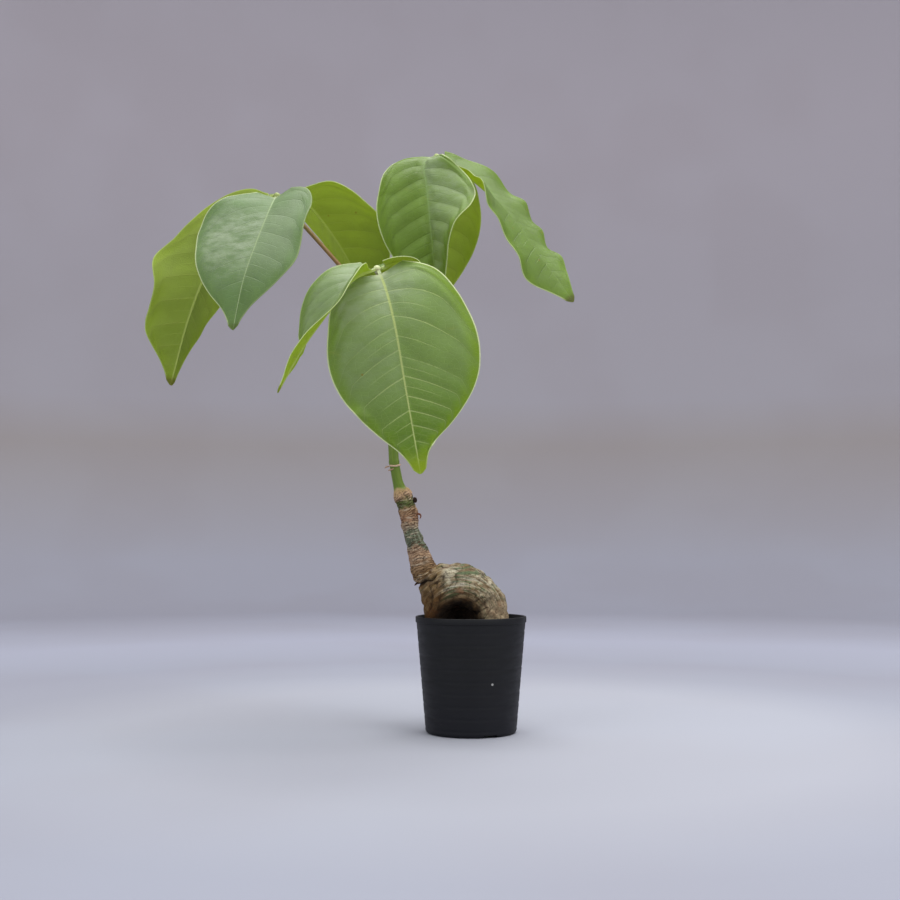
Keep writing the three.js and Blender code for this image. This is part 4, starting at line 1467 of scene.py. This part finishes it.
def row_place(row):
    """How far along a leaflet a row of its grid lies: close together at the stalk, the base and the tip."""
    if row <= STALK_ROWS_OF_BLADE:
        return STALK_SHARE * row / STALK_ROWS_OF_BLADE
    opened = (row - STALK_ROWS_OF_BLADE) / ROUNDED_ROWS
    closed = (BLADE_ROWS - row) / ROUNDED_ROWS
    if opened <= 1:
        in_blade = BASE_ROUNDING * opened * opened
    elif closed <= 1:
        in_blade = 1 - TIP_ROUNDING * closed * closed
    else:
        between = (opened - 1) / (opened + closed - 2)
        in_blade = BASE_ROUNDING + (1 - BASE_ROUNDING - TIP_ROUNDING) * between
    return STALK_SHARE + (1 - STALK_SHARE) * in_blade


def blade_mesh(shape, looks):
    blade = Blade(shape)
    mesh = bmesh.new()
    across_map = mesh.loops.layers.uv.new("blade")
    vein_map = mesh.loops.layers.uv.new("veins")
    layers = {name: mesh.verts.layers.float.new(name) for name in ("rib", "out", "margin", "length")}
    bmesh.ops.create_grid(mesh, x_segments=BLADE_COLUMNS, y_segments=BLADE_ROWS, size=1)
    places = {}
    for vertex in mesh.verts:
        u = row_place(round((vertex.co.y + 1) / 2 * BLADE_ROWS))
        across = round(vertex.co.x, 5)
        v = math.copysign(abs(across) ** TOWARDS_MIDRIB, across)
        places[vertex] = (u, v)
    for vertex, (u, v) in places.items():
        vertex.co = blade.point(u, v) * MM
        widest = blade.reach(u, v)
        rib_width = (1.6 - 1.0 * u) * looks["rib"]
        vertex[layers["rib"]] = abs(v) * widest / rib_width
        vertex[layers["out"]] = abs(v)
        vertex[layers["margin"]] = (1 - abs(v)) * widest
        vertex[layers["length"]] = u
    for face in mesh.faces:
        side = sum(places[vertex][1] for vertex in face.verts)
        for loop in face.loops:
            u, v = places[loop.vert]
            held = math.copysign(max(abs(v), BESIDE_MIDRIB), side)
            loop[across_map].uv = (v * blade.reach(u, side), u * blade.path.length)
            loop[vein_map].uv = blade.vein(u, held)
    bmesh.ops.reverse_faces(mesh, faces=mesh.faces)
    mesh.normal_update()
    moves = {}
    for vertex, (u, v) in places.items():
        out = abs(v)
        number, _ = blade.vein(u, v if out > BESIDE_MIDRIB else BESIDE_MIDRIB)
        pillow = abs(math.sin(math.pi * number)) ** 0.8
        within = ease(out, 0.02, 0.2) * ease(out, 1.0, 0.8) * ease(u, STALK_SHARE, 0.12) * ease(u, 1.0, 0.85)
        ripple = noise.noise(vertex.co / MM * 0.05) * 1.2 * ease(out, 0.3, 1.0) * ease(u, 0.04, 0.15)
        fine = noise.noise(vertex.co / MM * 0.3) * 0.12
        moves[vertex] = vertex.normal * (looks["quilt"] * pillow * within + ripple + fine * within) * MM
    for vertex, move in moves.items():
        vertex.co += move
    lowered = [(vertex, vertex.normal.copy()) for vertex in mesh.verts]
    bmesh.ops.extrude_face_region(mesh, geom=list(mesh.faces), use_keep_orig=True)
    rib, place = layers["rib"], layers["length"]
    for vertex, normal in lowered:
        keel = KEEL_DEPTH * (1 - 0.8 * vertex[place]) * ease(vertex[rib], 1.6, 0.0)
        vertex.co -= normal * (BLADE_THICKNESS + keel * MM)
    for vertex in mesh.verts:
        vertex.co = Vector(min(max(c, low), high) for c, low, high in zip(vertex.co, *cad_bounds))
    lower = {vertex for vertex, _ in lowered}
    for face in mesh.faces:
        face.material_index = 1 if all(vertex in lower for vertex in face.verts) else 0
    bmesh.ops.recalc_face_normals(mesh, faces=mesh.faces)
    return mesh


class LeafFinish(Finish):
    """One side of a leaflet. It reads where a point lies on the blade from the maps that the mesh carries."""

    def __init__(self, name):
        super().__init__(name, gloss=0.28)
        self.blade_map = self.node("UVMap", uv_map="blade")
        self.side = self.axis("X", self.blade_map)
        vein_map = self.node("UVMap", uv_map="veins")
        self.vein = self.axis("X", vein_map)
        self.gap = self.axis("Y", vein_map)
        self.rib = self.attribute("rib")
        self.out = self.attribute("out")
        self.margin = self.attribute("margin")
        self.length = self.attribute("length")

    def halves(self, left, right):
        """A value for each half of the blade, which changes over softly at the midrib."""
        return self.step(self.side, -3, 3, left, right)

    def side_veins(self):
        """How strongly a side vein shows at a point, and how far away in millimetres the nearest one is."""
        off = self.maths("ABSOLUTE", self.maths("SUBTRACT", self.maths("FRACT", self.vein), 0.5))
        away = self.times(self.maths("SUBTRACT", 0.5, off), self.gap)
        width = self.step(self.out, 0.0, 0.95, 0.46, 0.18)
        line = self.step(self.maths("DIVIDE", away, width), 0.6, 1.5, 1, 0)
        line = self.times(line, self.step(self.out, 0.8, 0.98, 1, 0.1))
        line = self.times(line, self.step(self.noise(50, detail=3), 0.3, 0.6, 0.6, 1.0))
        # each vein has its own strength
        which = self.maths("FLOOR", self.maths("ADD", self.vein, 0.5))
        chance = self.node("TexWhiteNoise", {"W": which}, noise_dimensions="1D")
        line = self.maths("MULTIPLY", line, self.maths("MULTIPLY_ADD", chance, 0.45, 0.6), clamp=True)
        # a weaker vein runs half-way between two that stand far apart
        between = self.step(self.times(off, self.gap), 0.15, 0.5, 1, 0)
        between = self.times(between, self.step(self.gap, 7, 14))
        between = self.times(between, self.step(self.out, 0.25, 0.65, 0.55, 0))
        fading = self.step(self.length, 0.78, 0.92, 1, 0.3)
        return self.times(self.maths("MAXIMUM", line, between), fading), away

    def powder_and_sheen(self, looks):
        """How much waxy powder and painted sheen pale the upper side, smeared and rubbed off in patches."""
        start, end = looks["pale patches start"], looks["pale patches end"]
        powder_and_sheen = self.halves(*looks["bloom and sheen"])
        powder_and_sheen = self.times(powder_and_sheen, self.step(self.length, end, end - 0.35))
        powder_and_sheen = self.times(powder_and_sheen, self.step(self.length, start, start + 0.15, 0.25, 1))
        powder_and_sheen = self.times(powder_and_sheen, self.step(self.margin, 2, 13, 0.15, 1))
        # painted sheen along the midrib at the base
        at_base = self.step(self.length, 0.42, 0.04, 0, looks["sheen at base"])
        powder_and_sheen = self.maths("ADD", powder_and_sheen, self.times(self.step(self.rib, 46, 4), at_base), clamp=True)
        # painted sheen on the left shoulder
        if looks["sheen on shoulder"]:
            on_shoulder = self.step(self.side, -10, -34, 0, looks["sheen on shoulder"])
            on_shoulder = self.times(on_shoulder, self.step(self.length, 0.36, 0.14))
            powder_and_sheen = self.maths("ADD", powder_and_sheen, on_shoulder, clamp=True)
        turned_map = {"Vector": self.blade_map, "Rotation": (0, 0, 0.5), "Scale": (0.07, 0.14, 1)}
        smear = self.noise(1, detail=8, roughness=0.7, place=self.node("Mapping", turned_map))
        rubbed = self.maths("SUBTRACT", 1.0, self.step(smear, 0.34, 0.66))
        rubbed = self.times(rubbed, self.halves(*looks["patchy"]))
        return self.times(self.maths("SUBTRACT", 1.0, rubbed), self.times(powder_and_sheen, 0.8))


def leaf_side(name, colour, looks, under=False):
    """Mottled green, deeper to the tip, with side veins, a fine net between them, a midrib and a pale rim."""
    finish = LeafFinish(name)
    length = finish.length
    vein_colour, vein_share = UNDER_VEINS if under else looks["veins"]
    dark = srgb(*[c * 0.95 for c in colour])
    light = srgb(*[min(255, c * 1.05) for c in colour])
    fresh = srgb(*[min(255, c * f) for c, f in zip(colour, (1.0, 1.03, 0.36))])
    deep = srgb(*[c * f for c, f in zip(colour, (0.78, 0.86, 0.5))])
    mottling = finish.noise(45, detail=6, roughness=0.6)
    body = finish.mix(finish.step(mottling, 0.3, 0.7), dark, light)
    deeper = looks["deeper tip"] * (0.4 if under else 1)
    body = finish.mix(finish.step(length, 0.4, 0.85, 0, deeper), body, deep)
    freshness = finish.times(finish.step(finish.margin, 15, 2), finish.halves(*looks["fresh"]))
    body = finish.mix(freshness, body, fresh)
    # the finest veins' net, painted shade in the crease beside a side vein, and the side veins themselves
    net_place = finish.stretched((0.2, 0.3, 1), finish.blade_map)
    wobble = finish.node("TexNoise", {"Vector": net_place, "Scale": 3.0}, out="Color")
    net_place = finish.mix(0.06, net_place, wobble)
    net = finish.cells(1.0, "DISTANCE_TO_EDGE", place=net_place, dimensions="2D")
    net = finish.step(net, 0.015, 0.07, 1, 0)
    fine_net = finish.cells(3.4, "DISTANCE_TO_EDGE", place=net_place, dimensions="2D")
    body = finish.mix(finish.times(net, 0.15), body, srgb(*vein_colour))
    line, away = finish.side_veins()
    # painted shade in the crease of the quilting beside each side vein
    beside = finish.step(finish.maths("DIVIDE", away, finish.gap), 0.0, 0.35, 0.5, 0)
    body = finish.mix(finish.times(beside, finish.step(finish.out, 0.06, 0.3)), body, dark)
    body = finish.mix(finish.times(line, vein_share), body, srgb(*vein_colour))
    # waxy powder and painted sheen, in pale grey-green, on the upper side
    if not under:
        body = finish.mix(finish.powder_and_sheen(looks), body, srgb(184, 196, 172))
    # small brown specks and yellowed scuffs
    specks = finish.step(finish.cells(75), 0.03, 0.09, 1, 0)
    rare = finish.step(finish.noise(38, detail=0), 0.62, 0.66)
    body = finish.mix(finish.times(specks, rare), body, srgb(150, 126, 60))
    scuff = finish.step(finish.noise(26, detail=4, distortion=1.5), 0.69, 0.75, 0, 0.3)
    body = finish.mix(scuff, body, srgb(170, 168, 84))
    # the midrib, the rim, partly a painted edge highlight, the nib at the tip and the pale joint at the stalk
    edge_of_rib = (1.4, 2.4) if under else (0.75, 1.3)
    rib_colour = srgb(206, 218, 132) if under else srgb(*looks["midrib"])
    body = finish.mix(finish.times(finish.step(finish.rib, *edge_of_rib, 1, 0), 0.9), body, rib_colour)
    # the pale rim: the margin's own colour, with a painted edge highlight
    rim_share = 0.35 if under else finish.halves(*looks["rim"])
    rim = finish.times(finish.step(finish.margin, 0.6, 1.2, 1, 0), rim_share)
    body = finish.mix(rim, body, srgb(238, 246, 196))
    nib = finish.step(length, looks["nib start"], 0.985, 0, 0.85)
    body = finish.mix(nib, body, srgb(*looks["nib"]))
    joint = finish.step(length, 0.085, 0.03, 0, looks["joint"])
    body = finish.mix(finish.times(joint, finish.step(finish.rib, 9, 1)), body, srgb(220, 228, 190))
    # the veins are sunk on the upper side and raised on the underside
    relief = finish.maths("ADD", line, finish.times(net, 0.3))
    relief = finish.times(relief, 1.0 if under else -1.0)
    relief = finish.maths("ADD", relief, finish.step(fine_net, 0.0, 0.25, 0, 0.12))
    normal = finish.bump(relief, 0.3 * MM, 0.9, finish.bump(mottling, 0.5 * MM, 0.4))
    rough = 0.6 if under else 0.4
    roughness = finish.step(mottling, 0.3, 0.7, rough - 0.06, rough + 0.1)
    finish.finish(Base_Color=body, Roughness=roughness, Normal=normal)
    glow = finish.mix(0.65, body, srgb(216, 230, 96))
    return finish.let_light_through(0.58 if under else 0.36, glow, normal)


for name, own in LEAFLETS.items():
    shape = {**PLAIN_SHAPE, **own}
    looks = {**PLAIN_LOOKS, **own["looks"]}
    upper = leaf_side(f"leaf_upper_{name}", looks["upper"], looks)
    lower = leaf_side(f"leaf_under_{name}", looks["under"], looks, under=True)
    leaflet = settle(blade_mesh(shape, looks), f"blade_{name}", "leaf", upper, lower, sharp=60)
    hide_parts(f"leaflet_{name}")


# The studio: a round floor and wall of seamless paper, grey-lilac behind and paler where it lies flat, with
# soft light from above and a little from the right. The wall in front only shows: it keeps no light out.
FLOOR_RADIUS = 1.7
WALL_CURVE = 0.9
WALL_TOP = 4.0
PAPER_SIDES = 96
CURVE_STEPS = 30
PAPER_RUN = 4.0
STUDIO_LIGHT = (0.93, 0.95, 1.0, 1)
STUDIO_BRIGHTNESS = 0.62


def paper_floor():
    mesh = bmesh.new()
    run = mesh.verts.layers.float.new("run")
    bmesh.ops.create_circle(mesh, cap_ends=True, cap_tris=True, segments=PAPER_SIDES, radius=FLOOR_RADIUS)
    for vertex in mesh.verts:
        vertex[run] = vertex.co.length
    return mesh


def paper_wall(turn):
    """Half of the wall, which curves up from the floor's edge, from a bearing round by half a turn."""
    mesh = bmesh.new()
    run = mesh.verts.layers.float.new("run")
    foot = mesh.verts.new((FLOOR_RADIUS, 0, 0))
    bmesh.ops.spin(
        mesh,
        geom=[foot],
        cent=(FLOOR_RADIUS, 0, WALL_CURVE),
        axis=(0, -1, 0),
        angle=math.pi / 2,
        steps=CURVE_STEPS,
    )
    top = max(mesh.verts, key=lambda vertex: vertex.co.z)
    risen = bmesh.ops.extrude_vert_indiv(mesh, verts=[top])["verts"]
    bmesh.ops.translate(mesh, verts=risen, vec=(0, 0, WALL_TOP - WALL_CURVE))
    for vertex in mesh.verts:
        lean = math.atan2(vertex.co.x - FLOOR_RADIUS, max(WALL_CURVE - vertex.co.z, 0.0))
        vertex[run] = FLOOR_RADIUS + WALL_CURVE * lean + max(vertex.co.z - WALL_CURVE, 0.0)
    bmesh.ops.rotate(mesh, verts=mesh.verts, cent=(0, 0, 0), matrix=Matrix.Rotation(turn, 3, "Z"))
    bmesh.ops.spin(
        mesh,
        geom=mesh.verts[:] + mesh.edges[:],
        cent=(0, 0, 0),
        axis=(0, 0, 1),
        angle=math.pi,
        steps=PAPER_SIDES // 2,
    )
    bmesh.ops.recalc_face_normals(mesh, faces=mesh.faces)
    return mesh


def paper():
    """Matte paper: its tones by how far it runs from the middle, in metres, and faint clouds."""
    finish = Finish("paper", roughness=0.85, gloss=0.2)
    # the tones along the run are partly painted shade and light, darker and paler bands on the paper
    tones = [
        (0.0, srgb(173, 176, 187)),
        (0.3, srgb(172, 175, 186)),
        (0.45, srgb(160, 163, 176)),
        (0.6, srgb(157, 160, 174)),
        (0.95, srgb(174, 177, 193)),
        (2.14, srgb(178, 179, 191)),
        (2.6, srgb(174, 168, 168)),
        (2.75, srgb(181, 178, 185)),
        (3.53, srgb(190, 184, 191)),
    ]
    run = finish.maths("DIVIDE", finish.attribute("run"), PAPER_RUN)
    colour = finish.ramp(run, [(place / PAPER_RUN, tone) for place, tone in tones])
    clouds = finish.noise(2.2, detail=2)
    colour = finish.mix(finish.step(clouds, 0.4, 0.6, 0, 0.06), colour, srgb(140, 118, 112))
    return finish.finish(Base_Color=colour)


studio = [
    scene_object(paper_floor(), "paper_floor"),
    scene_object(paper_wall(0.0), "paper_wall_behind"),
    scene_object(paper_wall(math.pi), "paper_wall_in_front"),
]
paper_finish = paper()
for piece in studio:
    piece.data.materials.append(paper_finish)
    piece.data.polygons.foreach_set("use_smooth", [True] * len(piece.data.polygons))
in_front = studio[2]
for ray in ("diffuse", "glossy", "transmission", "shadow"):
    setattr(in_front, f"visible_{ray}", False)

scene = bpy.context.scene
scene.view_settings.view_transform = "Standard"
scene.world = bpy.data.worlds.new("studio")
scene.world.use_nodes = True
background = scene.world.node_tree.nodes["Background"]
background.inputs["Color"].default_value = STUDIO_LIGHT
background.inputs["Strength"].default_value = STUDIO_BRIGHTNESS


def softbox(name, place, target, size, power, colour=(1, 1, 1)):
    light = bpy.data.lights.new(name, "AREA")
    light.shape = "RECTANGLE"
    light.size, light.size_y = size
    light.energy = power
    light.color = colour
    lamp = bpy.data.objects.new(name, light)
    lamp.location = place
    lamp.rotation_euler = (Vector(target) - Vector(place)).to_track_quat("-Z", "Y").to_euler()
    lamp.visible_camera = False
    scene.collection.objects.link(lamp)


softbox("overhead", (0.25, -0.25, 1.9), (0, 0, 0.1), (1.5, 1.5), 26, (1.0, 0.99, 0.97))
softbox("overhead_behind", (0.0, 0.55, 1.5), (-0.05, 0, 0.4), (1.2, 0.7), 9, (1.0, 0.99, 0.96))
softbox("front_right", (1.4, -1.5, 1.2), (0, 0, 0.25), (1.0, 1.2), 9)
softbox("front_left", (-1.5, -1.5, 1.0), (0, 0, 0.25), (1.0, 1.2), 6, (0.96, 0.98, 1.0))

CAMERA_PLACE = (-0.017, -1.023, 0.154)
CAMERA_TILT = math.radians(4.15)
camera_data = bpy.data.cameras.new("camera")
camera_data.lens = 50
camera_data.sensor_width = 36
camera = bpy.data.objects.new("camera", camera_data)
camera.location = CAMERA_PLACE
camera.rotation_euler = (math.pi / 2 + CAMERA_TILT, 0, 0)
scene.collection.objects.link(camera)
scene.camera = camera
